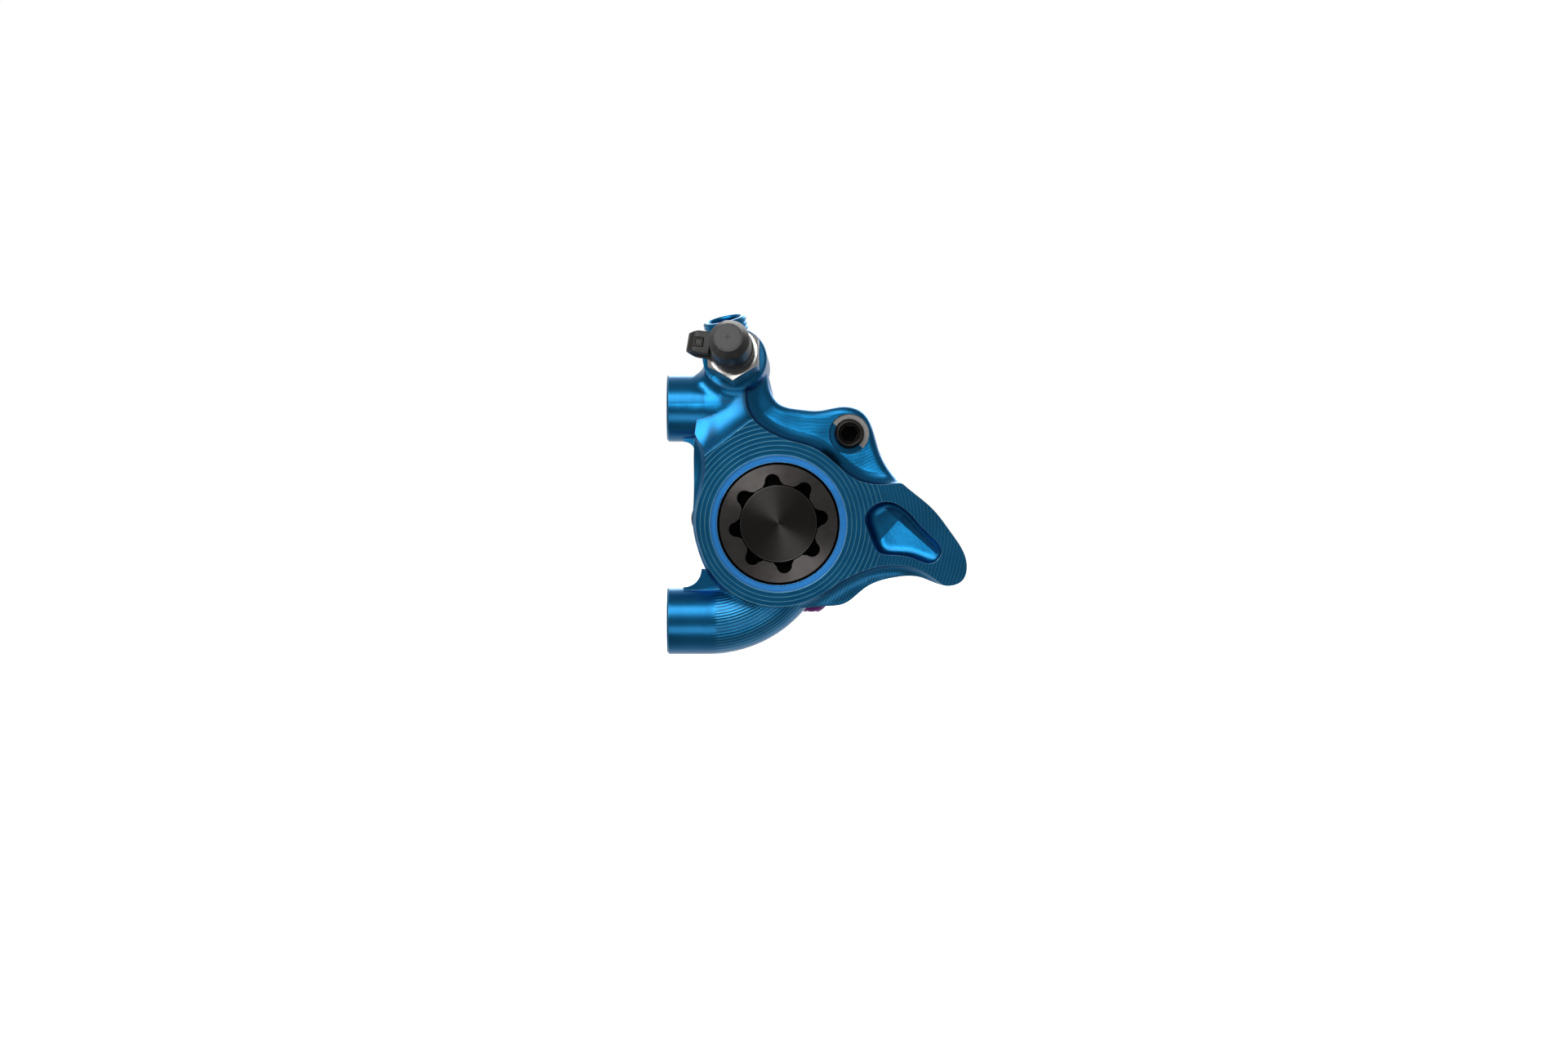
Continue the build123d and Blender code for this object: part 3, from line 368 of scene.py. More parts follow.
def turned_black(name, x, z, boss, painted_shade_depth, colour, boss_colour, roughness, anisotropy, ring_depth):
    """Black anodised metal turned about an axis along Y: fine rings, a sheen that fans out from the axis, a
    darker boss with a pale ring at its edge, and painted shade, near black, beyond a depth. boss is the boss's
    radius."""
    f = Finish(name)
    off = f.vector("MULTIPLY", f.vector("SUBTRACT", f.place, (x, 0.0, z)), (1.0, 0.0, 1.0))
    reach = f.vector("LENGTH", off)
    line = f.tree.nodes.new("ShaderNodeCombineXYZ")
    f.feed(line.inputs[0], reach)
    rings = f.noise(5.0, 3.0, place=line.outputs[0])
    f.tree.links.new(f.vector("NORMALIZE", off), f.shader.inputs["Tangent"])
    f.normal(rings, ring_depth, rounding=0.08)
    dye = f.mix(f.math("LESS_THAN", reach, boss), colour, boss_colour)
    dye = f.mix(f.product(f.step(f.noise(0.5), 0.3, 0.8), 0.3), dye, boss_colour)
    # painted shade: the piece is coloured near black beyond a depth, where its recesses lie in shade
    painted_recess_shade = f.math("GREATER_THAN", f.parts(f.place)[1], painted_shade_depth)
    dye = f.mix(painted_recess_shade, dye, (0.004, 0.004, 0.004, 1.0))
    pale_edges = f.product(f.edges(0.1), f.step(f.noise(1.2), 0.25, 0.6), 0.30)
    # a thin pale ring just inside the boss's edge, joined with the pale edges
    from_rim = f.math("ABSOLUTE", f.math("SUBTRACT", reach, boss - RIM_INSIDE))
    rim = f.math("LESS_THAN", from_rim, RIM_HALF_WIDTH)
    dye = f.mix(f.math("MAXIMUM", pale_edges, f.product(rim, 0.45)), dye, (0.20, 0.19, 0.185, 1.0))
    rough = f.total(roughness, f.product(rings, 0.10))
    f.set(Base_Color=dye, Metallic=0.95, Roughness=rough, Anisotropic=anisotropy, Specular_IOR_Level=0.3)
    return f.material


def purple_plug_finish():
    """Purple anodised aluminium with pale edges, partly wear and partly painted edge highlight."""
    f = Finish("purple_anodised_plug")
    dye = f.mix(f.noise(1.2), (0.120, 0.020, 0.150, 1.0), (0.170, 0.032, 0.200, 1.0))
    # pale edges: partly wear, partly painted edge highlight
    dye = f.mix(f.product(f.edges(0.1), 0.5), dye, (0.48, 0.30, 0.52, 1.0))
    f.normal(f.noise(8.0, 2.0), 0.006, rounding=0.08)
    f.set(Base_Color=dye, Metallic=1.0, Roughness=f.total(0.3, f.product(f.noise(4.0), 0.12)))
    return f.material


def turned_steel(name, colour, pale, roughness, line_scale, depth):
    """Bare machined steel or aluminium with fine turning marks and small stains."""
    f = Finish(name)
    stain = f.step(f.noise(0.9, 4.0), 0.35, 0.75)
    metal = f.mix(stain, pale, colour)
    # painted edge highlight: every edge is coloured paler
    metal = f.mix(f.product(f.edges(0.08), 0.4), metal, (0.86, 0.85, 0.83, 1.0))
    marks = f.noise(line_scale, 3.0, (1.0, 0.15, 1.0))
    f.normal(marks, depth, rounding=0.07)
    f.set(Base_Color=metal, Metallic=1.0, Roughness=f.total(roughness, f.product(marks, 0.16)))
    return f.material


def spring_steel_finish():
    """Thin rolled stainless sheet, with lines along its rolling direction."""
    f = Finish("rolled_spring_steel")
    lines = f.noise(7.0, 3.0, (0.1, 1.0, 0.5))
    metal = f.mix(lines, (0.42, 0.41, 0.39, 1.0), (0.56, 0.55, 0.53, 1.0))
    f.normal(lines, 0.004)
    f.set(Base_Color=metal, Metallic=1.0, Roughness=f.total(0.25, f.product(lines, 0.15)))
    return f.material


def plate_steel_finish():
    """Blanked pad plates with a dull grey coat and worn edges."""
    f = Finish("coated_pad_plate")
    coat = f.mix(f.noise(0.8, 3.0), (0.055, 0.056, 0.058, 1.0), (0.085, 0.086, 0.088, 1.0))
    pale_edges = f.product(f.edges(0.15), f.step(f.noise(1.4), 0.3, 0.7))
    coat = f.mix(pale_edges, coat, (0.42, 0.41, 0.40, 1.0))
    f.normal(f.noise(4.0, 4.0), 0.02, rounding=0.12)
    f.set(Base_Color=coat, Metallic=0.7, Roughness=f.total(0.42, f.product(f.noise(3.0), 0.2)))
    return f.material


def friction_finish():
    """Pressed friction compound: brown-grey, speckled with metal fibres and pits."""
    f = Finish("friction_compound")
    speckle = f.tree.nodes.new("ShaderNodeTexVoronoi")
    speckle.inputs["Scale"].default_value = 2.6
    f.feed(speckle.inputs["Vector"], f.place)
    fibre = f.rest(f.step(speckle.outputs["Distance"], 0.08, 0.20))
    compound = f.mix(f.noise(1.1, 4.0), (0.052, 0.040, 0.032, 1.0), (0.110, 0.085, 0.066, 1.0))
    compound = f.mix(f.product(fibre, 0.8), compound, (0.46, 0.34, 0.20, 1.0))
    f.normal(f.total(f.noise(5.0, 4.0), f.product(fibre, -0.4)), 0.10, rounding=0.15)
    f.set(Base_Color=compound, Metallic=f.product(fibre, 0.8),
          Roughness=f.total(0.88, f.product(fibre, -0.35)))
    return f.material


def phenolic_finish():
    """Moulded dark phenolic of the pistons, with faint flow marks."""
    f = Finish("moulded_phenolic")
    flow = f.noise(0.6, 4.0, (1.0, 0.3, 1.0))
    resin = f.mix(flow, (0.018, 0.014, 0.012, 1.0), (0.050, 0.038, 0.030, 1.0))
    f.normal(f.noise(8.0, 3.0), 0.006, rounding=0.12)
    f.set(Base_Color=resin, Roughness=f.total(0.28, f.product(flow, 0.15)))
    return f.material


# Distance up the nipple that no piece of rubber reaches
NO_TIP = 20.0


def rubber_finish(name, dark, pale, roughness, dust, tip=NO_TIP):
    """Moulded black rubber with a fine matt grain, a little dust, and a greyer face past a distance up the
    nipple, where one is given."""
    f = Finish(name)
    rubber = f.mix(f.step(f.noise(0.7, 4.0), 0.25, 0.75), dark, pale)
    up = f.vector("DOT_PRODUCT", f.vector("SUBTRACT", f.place, tuple(NIPPLE_SEAT)), tuple(NIPPLE_AXIS))
    at_tip = f.math("GREATER_THAN", up, tip)
    rubber = f.mix(at_tip, rubber, (0.052, 0.054, 0.052, 1.0))
    specks = f.tree.nodes.new("ShaderNodeTexVoronoi")
    specks.inputs["Scale"].default_value = 0.85
    f.feed(specks.inputs["Vector"], f.place)
    speck = f.rest(f.step(specks.outputs["Distance"], 0.035, 0.06))
    rubber = f.mix(f.product(speck, dust), rubber, (0.42, 0.42, 0.42, 1.0))
    grain = f.noise(16.0, 3.0)
    f.normal(grain, 0.010)
    rough = f.total(roughness, f.product(f.total(grain, at_tip), 0.14))
    f.set(Base_Color=rubber, Roughness=rough, Specular_IOR_Level=0.38)
    return f.material


# ---------------------------------------------------------------- shapes

def solid_mesh(name, shells, finish):
    """One smooth object from shells, each its points in millimetres and its four-sided faces."""
    start, points, faces = 0, [], []
    for shell_points, shell_faces in shells:
        points.append(shell_points)
        faces.append(shell_faces + start)
        start += len(shell_points)
    mesh = bpy.data.meshes.new(name)
    mesh.from_pydata((np.concatenate(points) * MM).tolist(), [], np.concatenate(faces).tolist())
    mesh.validate()
    mesh.polygons.foreach_set("use_smooth", np.full(len(mesh.polygons), True))
    mesh.update()
    piece = bpy.data.objects.new(name, mesh)
    bpy.context.scene.collection.objects.link(piece)
    mesh.materials.append(finish)
    return piece


def grid_faces(rows, columns, wrap_rows, wrap_columns):
    """Four-sided faces between neighbouring points of a grid; a wrapped side closes on itself."""
    row = np.arange(rows if wrap_rows else rows - 1)
    column = np.arange(columns if wrap_columns else columns - 1)
    r, c = np.meshgrid(row, column, indexing="ij")
    next_r, next_c = (r + 1) % rows, (c + 1) % columns
    return np.stack((r * columns + c, r * columns + next_c,
                     next_r * columns + next_c, next_r * columns + c), -1).reshape(-1, 4)


def facing_out(points, faces):
    """Turns a closed shell's faces round if its volume, the sum of its corners' triple products, is negative."""
    a, b, c, d = (points[faces[:, k]] for k in range(4))
    volume = np.einsum("ij,ij->i", a, np.cross(b, c)).sum() + np.einsum("ij,ij->i", a, np.cross(c, d)).sum()
    return faces if volume > 0 else faces[:, ::-1]


# Corners of a square outline of half side 1, and the share of a side that a rounded corner may take
SQUARE = (1, 1), (-1, 1), (-1, -1), (1, -1)
CORNER_ROOM = 0.45


def rounded_corners(corners, radius, steps=4):
    """Closed outline with its corners cut round: each corner becomes the quadratic curve from a point up to
    radius before it to one as far after it, with the corner itself as the curve's control point."""
    corners = np.asarray(corners, float)
    before, after = np.roll(corners, 1, 0) - corners, np.roll(corners, -1, 0) - corners
    room_before, room_after = np.linalg.norm(before, axis=1), np.linalg.norm(after, axis=1)
    cut = np.minimum(radius, CORNER_ROOM * np.minimum(room_before, room_after))
    start = corners + before * (cut / room_before)[:, None]
    end = corners + after * (cut / room_after)[:, None]
    t = np.linspace(0, 1, steps)[None, :, None]
    curve = (1 - t) ** 2 * start[:, None] + 2 * t * (1 - t) * corners[:, None] + t ** 2 * end[:, None]
    return curve.reshape(-1, 2)


def axis_frame(axis):
    """Two directions square to an axis: X less its share along the axis, and the cross product with it."""
    first = unit(np.array((1.0, 0.0, 0.0)) - axis * axis[0])
    return first, np.cross(axis, first)


def turned_shell(origin, axis, outline, around=96, wave=None):
    """A closed outline of (reach, distance) carried round an axis: origin plus axis times distance, plus
    reach times the cosine and sine of the angle along two directions square to the axis. wave, where given,
    adds to the reach, from the outline's reach, its distance and the angle."""
    first, second = axis_frame(axis)
    angle = np.linspace(0, 2 * math.pi, around, endpoint=False)[None, :]
    reach, distance = outline[:, 0][:, None], outline[:, 1][:, None]
    if wave is not None:
        reach = reach + wave(reach, distance, angle)
    points = (origin + axis * distance[..., None]
              + reach[..., None] * (np.cos(angle)[..., None] * first + np.sin(angle)[..., None] * second))
    points = points.reshape(-1, 3)
    return points, facing_out(points, grid_faces(len(outline), around, True, True))


def carried_shell(path, across, up, outline):
    """A closed outline of (across, up) carried along a path: each point is the path's, plus the outline's
    two parts times the directions there. The two ends close on their middles by flat fans."""
    points = (path[:, None, :] + outline[None, :, 0, None] * across[:, None, :]
              + outline[None, :, 1, None] * up[:, None, :])
    middles = np.repeat(points.mean(1, keepdims=True), len(outline), 1)
    rows = np.concatenate((middles[:1], points, middles[-1:]))
    flat = rows.reshape(-1, 3)
    return flat, facing_out(flat, grid_faces(len(rows), len(outline), False, True))


# ---------------------------------------------------------------- hose connector

WASHER_TOP, STUB_TOP, STUB_RADIUS, MOUTH_RADIUS = 0.9, 5.1, 3.5, 2.55
THREAD_PITCH, THREAD_DEPTH, TOOTH_SHARE, THREAD_INSIDE = 0.70, 0.16, 0.72, 3.1
THREAD_START, THREAD_END, THREAD_RUN_IN, THREAD_RUN_OUT = WASHER_TOP + 0.15, STUB_TOP - 0.50, 0.3, 0.25
STUB_ROWS = 70


def connector_thread(reach, distance, angle):
    """Helical thread cut into the stub: the turns are the distance over the pitch less the angle's share of
    a turn, the tooth is half less a share of the cosine of the turns, kept between 0 and 1, and the cut is
    the depth times what the tooth leaves, faded at both ends. Nothing is cut inside the stub."""
    turns = distance / THREAD_PITCH - angle / (2 * math.pi)
    tooth = np.clip(0.5 - TOOTH_SHARE * np.cos(2 * math.pi * turns), 0, 1)
    fade = np.clip((distance - THREAD_START) / THREAD_RUN_IN, 0, 1)
    fade = fade * np.clip((THREAD_END - distance) / THREAD_RUN_OUT, 0, 1)
    return np.where(reach > THREAD_INSIDE, -THREAD_DEPTH * (1 - tooth) * fade, 0.0)


def hose_connector(finish):
    """Turned outline of the connector carried round the port's axis, the thread cut into its outside."""
    rows = np.linspace(WASHER_TOP + 0.05, STUB_TOP - 0.3, STUB_ROWS)
    outside = np.column_stack((np.full(STUB_ROWS, STUB_RADIUS), rows))
    inside = rounded_corners(
        ((STUB_RADIUS, STUB_TOP - 0.25), (3.25, STUB_TOP), (2.75, STUB_TOP), (MOUTH_RADIUS, STUB_TOP - 0.3),
         (MOUTH_RADIUS, 1.95), (1.35, 1.6), (1.3, 1.3), (1.3, -5.9), (2.5, -5.9), (2.6, -5.7),
         (2.6, WASHER_TOP), (3.4, WASHER_TOP)),
        radius=0.12, steps=3,
    )
    outline = np.concatenate((outside, inside))
    points, faces = turned_shell(PORT_TOP, PORT_AXIS, outline, around=128, wave=connector_thread)
    piece = solid_mesh("hose_connector_thread", [(points, faces)], finish)
    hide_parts("hose_connector")
    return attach(piece, "caliper")


# ---------------------------------------------------------------- nipple, dust cap and strap

# Dust cap: distances up the nipple's axis, and radii
HEX_TOP, CAP_BASE, LIP_TOP, HOLLOW_TOP, CAP_SHOULDER, CAP_TIP = 4.3, 5.45, 6.75, 11.42, 11.35, 13.25
AXIS_GAP, TIP_RADIUS, BARREL_RADIUS, LIP_RADIUS, HOLLOW_RADIUS = 0.02, 2.14, 3.25, 3.5, 2.47
DIMPLE_RADIUS, DIMPLE_DEPTH = 0.3, 0.1


def dust_cap(finish):
    """Turned outline of the cap carried round the nipple's axis: lip, barrel, cone and a flat tip with a
    small dimple, and a hollow that opens at the lip."""
    dimple = CAP_TIP - DIMPLE_DEPTH
    outline = rounded_corners(
        ((AXIS_GAP, dimple), (DIMPLE_RADIUS - 0.08, dimple), (DIMPLE_RADIUS, CAP_TIP), (TIP_RADIUS, CAP_TIP),
         (BARREL_RADIUS, CAP_SHOULDER), (BARREL_RADIUS, LIP_TOP + 0.1), (LIP_RADIUS, LIP_TOP - 0.2),
         (LIP_RADIUS, CAP_BASE), (HOLLOW_RADIUS + 0.08, CAP_BASE), (HOLLOW_RADIUS, CAP_BASE + 0.2),
         (HOLLOW_RADIUS, HOLLOW_TOP - 0.12), (2.2, HOLLOW_TOP), (AXIS_GAP, HOLLOW_TOP)),
        radius=0.24, steps=6,
    )
    points, faces = turned_shell(NIPPLE_SEAT, NIPPLE_AXIS, outline[::-1], around=112)
    piece = solid_mesh("dust_cap_rubber", [(points, faces)], finish)
    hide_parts("dust_cap")
    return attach(piece, "cap")


# Strap: its section and how far it reaches, where its legs begin and end, and the ring at its root
STRAP_THICKNESS, STRAP_WIDTH, STRAP_REACH, STRAP_TURN = 0.9, 3.8, 7.1, math.radians(-9.0)
STRAP_LIFT, FOLD_GAP, LOWER_ROOT, UPPER_END = 0.12, 1.5, -2.6, -3.3
LOWER_ROWS, FOLD_ROWS, UPPER_ROWS = 14, 25, 12
FOLD_NARROWING, NARROWING_REACH = 0.20, 0.8
RING_INNER, RING_OUTER = 2.12, 3.3

# Eye on the strap: half its side, its place along the strap, and the size and lift of each outline
EYE_HALF, EYE_FROM_FOLD = 0.72, 1.9
EYE_SIZES, EYE_LIFTS = (1.0, 1.12, 1.12, 0.62, 0.55, 1.0), (-0.12, -0.02, 0.10, 0.10, -0.1, -0.12)


def cap_strap(finish):
    """A band carried along a fold: out from the ring above the hexagon's top, half round, and back to the
    cap. It narrows towards the fold by a bell curve of the distance from the fold's end. A turned ring
    closes its root, and the rim of a square eye is raised on the outer leg."""
    level, rise = axis_frame(NIPPLE_AXIS)
    first = level * math.cos(STRAP_TURN) + rise * math.sin(STRAP_TURN)
    second = np.cross(NIPPLE_AXIS, first)
    start = HEX_TOP + STRAP_LIFT
    radius = STRAP_THICKNESS + FOLD_GAP / 2
    middle_line = radius - STRAP_THICKNESS / 2
    top = start + 2 * radius
    fold = radius - STRAP_REACH
    turn = np.linspace(-math.pi / 2, -1.5 * math.pi, FOLD_ROWS)
    lower = np.column_stack((np.linspace(LOWER_ROOT, fold, LOWER_ROWS),
                             np.full(LOWER_ROWS, start + STRAP_THICKNESS / 2)))
    bend = np.column_stack((fold + middle_line * np.cos(turn), start + radius + middle_line * np.sin(turn)))
    upper = np.column_stack((np.linspace(fold, UPPER_END, UPPER_ROWS),
                             np.full(UPPER_ROWS, top - STRAP_THICKNESS / 2)))
    line = np.concatenate((lower, bend[1:-1], upper))
    path = NIPPLE_SEAT + line[:, :1] * first + line[:, 1:] * NIPPLE_AXIS
    along = np.gradient(path, axis=0)
    along /= np.linalg.norm(along, axis=1, keepdims=True)
    across = np.repeat(second[None], len(path), 0)
    section = rounded_corners(np.array(SQUARE) * (STRAP_WIDTH / 2, STRAP_THICKNESS / 2), radius=0.28)
    from_end = line[:, :1] - line[:, :1].min()
    narrowing = 1 - FOLD_NARROWING * np.exp(-(from_end / NARROWING_REACH) ** 2)
    shells = [carried_shell(path, across * narrowing, np.cross(along, across), section)]
    ring = rounded_corners(((RING_INNER, start), (RING_OUTER, start), (RING_OUTER, start + STRAP_THICKNESS),
                            (RING_INNER, start + STRAP_THICKNESS)), radius=0.2)
    shells.append(turned_shell(NIPPLE_SEAT, NIPPLE_AXIS, ring, around=72))
    eye_middle = NIPPLE_SEAT + first * (EYE_FROM_FOLD - STRAP_REACH) + NIPPLE_AXIS * top
    corner = rounded_corners(np.array(SQUARE) * EYE_HALF, radius=0.06, steps=3)
    outline = corner[None, :, :1] * first + corner[None, :, 1:] * second
    eye = eye_middle + outline * np.array(EYE_SIZES)[:, None, None]
    eye = (eye + NIPPLE_AXIS * np.array(EYE_LIFTS)[:, None, None]).reshape(-1, 3)
    shells.append((eye, facing_out(eye, grid_faces(len(EYE_SIZES), len(corner), True, True))))
    piece = solid_mesh("cap_strap_band", shells, finish)
    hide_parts("cap_strap")
    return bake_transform(piece)


# ---------------------------------------------------------------- pad spring and rubber rings

PIN_DIRECTION = math.radians(51.8)
RADIAL = np.array((math.cos(PIN_DIRECTION), 0.0, math.sin(PIN_DIRECTION)))
TANGENT = np.array((RADIAL[2], 0.0, -RADIAL[0]))
DEPTH = np.array((0.0, 1.0, 0.0))
UP = np.array((0.0, 0.0, 1.0))
BORE = np.array((BORE_X, 0.0, BORE_Z))
PLUG_MIDDLE = np.array((23.2, 24.3, 0.0))
SPRING_FOOT, SPRING_TOP, SPRING_SHEET = 8.5, 11.9, 0.35
SPRING_FRONT, SPRING_BACK, SPRING_RISE = 10.43, 17.57, 1.85
PRONG_MIDDLE, PRONG_WIDTH, PRONG_LENGTH, PRONG_SHARE = 11.4, 1.0, 15.0, 0.98
BRIDGE_HALF, BRIDGE_SINK, BRIDGE_ROWS = 5.0, 0.18, 33


def pad_spring(finish):
    """Sheet bands with rounded edges: two prongs and a bar on each pad's plate, and an arch between the
    bars whose rise is half a sine of its way across."""
    section = rounded_corners(np.array(SQUARE) / 2, radius=0.12, steps=3)

    def band(points, across, up, width, thickness):
        """A band carried along points, its width across and its thickness up."""
        path = np.asarray(points)
        shape = section * (width, thickness)
        many = np.ones((len(path), 1))
        return carried_shell(path, many * across, up if np.ndim(up) == 2 else many * up, shape)

    shells = []
    for depth in (SPRING_FRONT + SPRING_SHEET / 2, SPRING_BACK - SPRING_SHEET / 2):
        bar = [BORE + RADIAL * (SPRING_FOOT + SPRING_TOP) / 2 + TANGENT * t + DEPTH * depth
               for t in (-PRONG_MIDDLE - PRONG_WIDTH / 2, 0.0, PRONG_MIDDLE + PRONG_WIDTH / 2)]
        shells.append(band(bar, RADIAL, DEPTH, SPRING_TOP - SPRING_FOOT, SPRING_SHEET))
        for side in (-PRONG_MIDDLE, PRONG_MIDDLE):
            ends = (SPRING_TOP - 0.02, SPRING_TOP - PRONG_LENGTH / 2, SPRING_TOP - PRONG_LENGTH)
            prong = [BORE + RADIAL * r + TANGENT * side + DEPTH * depth for r in ends]
            shells.append(band(prong, TANGENT, DEPTH, PRONG_WIDTH, SPRING_SHEET * PRONG_SHARE))
    share = np.linspace(0, 1, BRIDGE_ROWS)[:, None]
    span = SPRING_BACK - SPRING_FRONT - SPRING_SHEET
    middle = BORE + DEPTH * (SPRING_FRONT + SPRING_SHEET / 2 + share * span)
    arch = middle + RADIAL * (SPRING_TOP - BRIDGE_SINK + SPRING_RISE * np.sin(math.pi * share))
    along = np.gradient(arch, axis=0)
    up = np.cross(along / np.linalg.norm(along, axis=1, keepdims=True), TANGENT)
    shells.append(band(arch, TANGENT, up, 2 * BRIDGE_HALF, SPRING_SHEET))
    piece = solid_mesh("pad_spring_sheet", shells, finish)
    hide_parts("pad_spring")
    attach(piece, "caliper")
    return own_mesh(piece)


def rubber_ring(name, node, origin, axis, inner, outer, low, high, corner, finish):
    """A ring carried round an axis; the corners of its section are cut round."""
    section = rounded_corners(((inner, low), (outer, low), (outer, high), (inner, high)), corner, steps=6)
    points, faces = turned_shell(origin, axis, section)
    piece = solid_mesh(name, [(points, faces)], finish)
    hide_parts(node)
    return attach(piece, "caliper")


# ---------------------------------------------------------------- make and finish the pieces

def refinish(node, material):
    """Gives a node of the solids its material in every slot."""
    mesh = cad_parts[node].data
    mesh.materials.clear()
    mesh.materials.append(material)


black_cap = turned_black("turned_black_bore_cap", BORE_X, BORE_Z, boss=6.1, painted_shade_depth=-7.3,
                         colour=(0.105, 0.096, 0.093, 1.0), boss_colour=(0.038, 0.036, 0.034, 1.0),
                         roughness=0.34, anisotropy=0.93, ring_depth=0.004)
black_pin = turned_black("blackened_pad_pin", PIN_X, PIN_Z, boss=1.95, painted_shade_depth=-3.1,
                         colour=(0.040, 0.034, 0.030, 1.0), boss_colour=(0.016, 0.013, 0.011, 1.0),
                         roughness=0.30, anisotropy=0.4, ring_depth=0.004)
nipple_steel = turned_steel("turned_stainless_nipple", (0.72, 0.70, 0.66, 1.0), (0.82, 0.80, 0.77, 1.0),
                            roughness=0.22, line_scale=3.0, depth=0.006)
washer_metal = turned_steel("soft_aluminium_washer", (0.66, 0.66, 0.67, 1.0), (0.76, 0.76, 0.77, 1.0),
                            roughness=0.30, line_scale=4.0, depth=0.006)
clip_steel = turned_steel("oiled_clip_steel", (0.30, 0.29, 0.28, 1.0), (0.40, 0.39, 0.38, 1.0),
                          roughness=0.28, line_scale=6.0, depth=0.004)
cap_rubber = rubber_finish("dust_cap_black_rubber", (0.006, 0.0055, 0.005, 1.0), (0.012, 0.011, 0.010, 1.0),
                           roughness=0.34, dust=0.5, tip=CAP_TIP - 0.3)
seal_rubber = rubber_finish("seal_nitrile_rubber", (0.008, 0.008, 0.008, 1.0), (0.014, 0.014, 0.014, 1.0),
                            roughness=0.38, dust=0.0)

refinish("caliper_body", blue_anodised_body())
refinish("bore_cap", black_cap)
refinish("pad_pin", black_pin)
refinish("bleed_nipple", nipple_steel)
refinish("connector_washer", washer_metal)
refinish("pin_clip", clip_steel)
refinish("transfer_plug", purple_plug_finish())
plate_steel, friction, phenolic = plate_steel_finish(), friction_finish(), phenolic_finish()
for side in ("outboard", "inboard"):
    refinish("pad_plate_" + side, plate_steel)
    refinish("pad_friction_" + side, friction)
    refinish("piston_" + side, phenolic)

hose_connector(blue_anodised_fitting())
dust_cap(cap_rubber)
cap_strap(cap_rubber)
pad_spring(spring_steel_finish())

# Rings: name, node, a point of the axis, the axis, two radii, two distances along the axis, corner radius
for name, node, origin, axis, inner, outer, low, high, corner in (
        ("bore_cap_seal", "bore_cap_o_ring", BORE, DEPTH, 8.22, 9.68, -5.11, -3.65, 0.7),
        ("piston_seal_out", "piston_seal_outboard", BORE, DEPTH, 9.04, 10.6, 3.73, 5.87, 0.15),
        ("piston_seal_in", "piston_seal_inboard", BORE, DEPTH, 9.04, 10.6, 22.13, 24.27, 0.15),
        ("transfer_plug_seal", "transfer_plug_o_ring", PLUG_MIDDLE, UP, 1.62, 2.16, -13.71, -13.17, 0.26)):
    rubber_ring(name, node, origin, axis, inner, outer, low, high, corner, seal_rubber)


# ---------------------------------------------------------------- floor, light and camera

FLOOR_GAP, FLOOR_REACHES, FLOOR_SIDES = 0.05, (0.01, 400.0, 4000.0), 96
WHITE = (1.0, 1.0, 1.0, 1.0)

# Middle of the caliper, in metres, at which the lights point
LIT_MIDDLE = np.array((0.0187, 0.010, 0.002))


def pale_floor():
    """A wide pale disc just under the lower foot, its points at three radii round the origin."""
    f = Finish("pale_paper_floor")
    paper = f.mix(f.noise(0.02, 3.0), (0.86, 0.86, 0.87, 1.0), (0.90, 0.90, 0.90, 1.0))
    f.normal(f.noise(0.9, 3.0), 0.02)
    f.set(Base_Color=paper, Roughness=0.9, Emission_Color=WHITE, Emission_Strength=0.9)
    angle = np.linspace(0, 2 * math.pi, FLOOR_SIDES, endpoint=False)
    reach = np.array(FLOOR_REACHES)[:, None]
    level = np.full((len(FLOOR_REACHES), FLOOR_SIDES), cad_low[2] / MM - FLOOR_GAP)
    points = np.stack((reach * np.cos(angle), reach * np.sin(angle), level), -1).reshape(-1, 3)
    faces = grid_faces(len(FLOOR_REACHES), FLOOR_SIDES, False, True)
    floor = solid_mesh("floor", [(points, faces)], f.material)
    floor.visible_glossy = False


def softbox(name, direction, distance, width, height, power):
    """An area light at a distance in metres along a direction from the caliper's middle, facing it."""
    light = bpy.data.lights.new(name, "AREA")
    light.shape, light.size, light.size_y, light.energy = "RECTANGLE", width, height, power
    lamp = bpy.data.objects.new(name, light)
    lamp.location = tuple(LIT_MIDDLE + unit(direction) * distance)
    lamp.rotation_euler = direction_to_euler(direction)
    bpy.context.scene.collection.objects.link(lamp)


def direction_to_euler(direction):
    """Turn that points a light's -Z at the caliper from that direction, its X kept level."""
    x, y, z = unit(direction)
    return (math.acos(z), 0.0, math.atan2(x, -y))


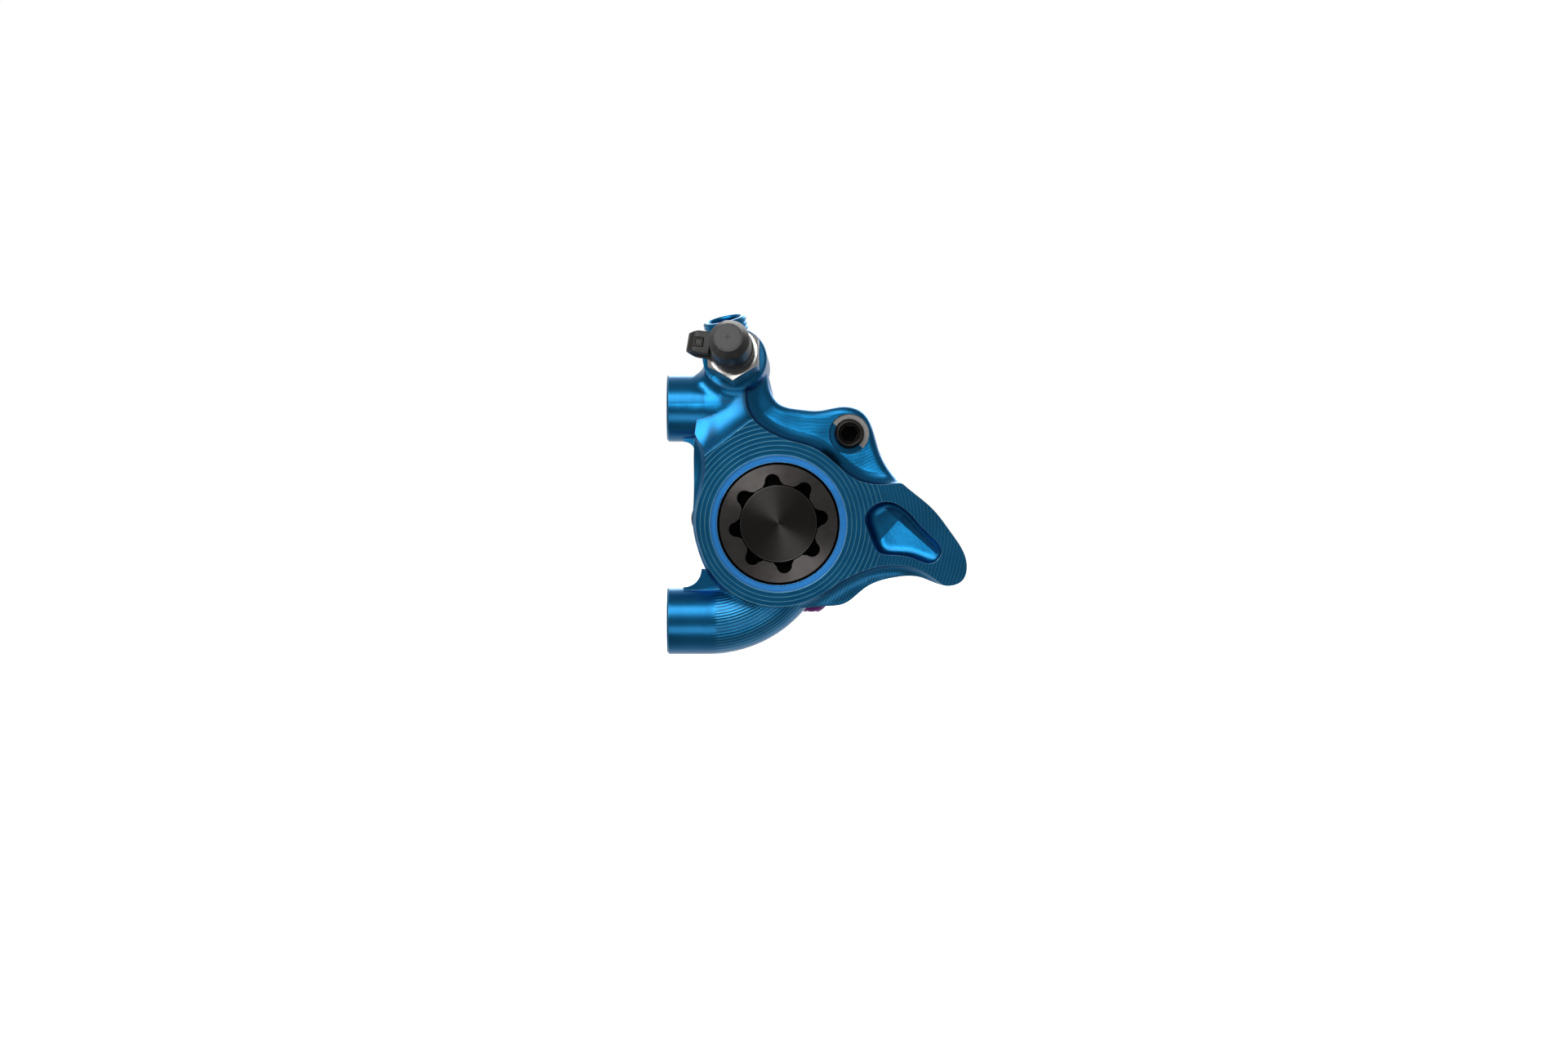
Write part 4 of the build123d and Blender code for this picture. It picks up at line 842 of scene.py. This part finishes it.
def studio_world():
    """White behind the caliper and dim in front of it; the camera sees plain white everywhere."""
    world = bpy.data.worlds.new("white_studio")
    bpy.context.scene.world = world
    world.use_nodes = True
    tree = world.node_tree
    tree.nodes.clear()
    output = tree.nodes.new("ShaderNodeOutputWorld")
    place = tree.nodes.new("ShaderNodeTexCoord")
    parts = tree.nodes.new("ShaderNodeSeparateXYZ")
    tree.links.new(place.outputs["Generated"], parts.inputs[0])
    depth = tree.nodes.new("ShaderNodeMapRange")
    depth.interpolation_type = "SMOOTHSTEP"
    tree.links.new(parts.outputs["Y"], depth.inputs["Value"])
    for name, number in (("From Min", -0.25), ("From Max", 0.85), ("To Min", 0.30), ("To Max", 0.95)):
        depth.inputs[name].default_value = number
    around, seen = tree.nodes.new("ShaderNodeBackground"), tree.nodes.new("ShaderNodeBackground")
    tree.links.new(depth.outputs["Result"], around.inputs["Strength"])
    seen.inputs["Color"].default_value = WHITE
    seen.inputs["Strength"].default_value = 1.0
    ray, mix = tree.nodes.new("ShaderNodeLightPath"), tree.nodes.new("ShaderNodeMixShader")
    tree.links.new(ray.outputs["Is Camera Ray"], mix.inputs[0])
    tree.links.new(around.outputs[0], mix.inputs[1])
    tree.links.new(seen.outputs[0], mix.inputs[2])
    tree.links.new(mix.outputs[0], output.inputs["Surface"])


pale_floor()
studio_world()
softbox("key_softbox", (-0.42, -0.78, 0.60), distance=0.9, width=0.75, height=0.50, power=5.6)
softbox("low_fill", (0.10, -0.85, -0.55), distance=0.9, width=0.7, height=0.35, power=1.2)
softbox("back_rim", (0.3, 0.9, 0.55), distance=0.9, width=0.9, height=0.6, power=6.0)

scene = bpy.context.scene
scene.view_settings.view_transform = "Standard"
camera = bpy.data.objects.new("photo_camera", bpy.data.cameras.new("photo_camera"))
camera.data.lens, camera.data.sensor_width = 114.7, 36.0
camera.data.clip_start, camera.data.clip_end = 0.05, 20.0
camera.location = (0.01869, -0.8, -0.00131)
camera.rotation_euler = (math.pi / 2, 0.0, 0.0)
scene.collection.objects.link(camera)
scene.camera = camera
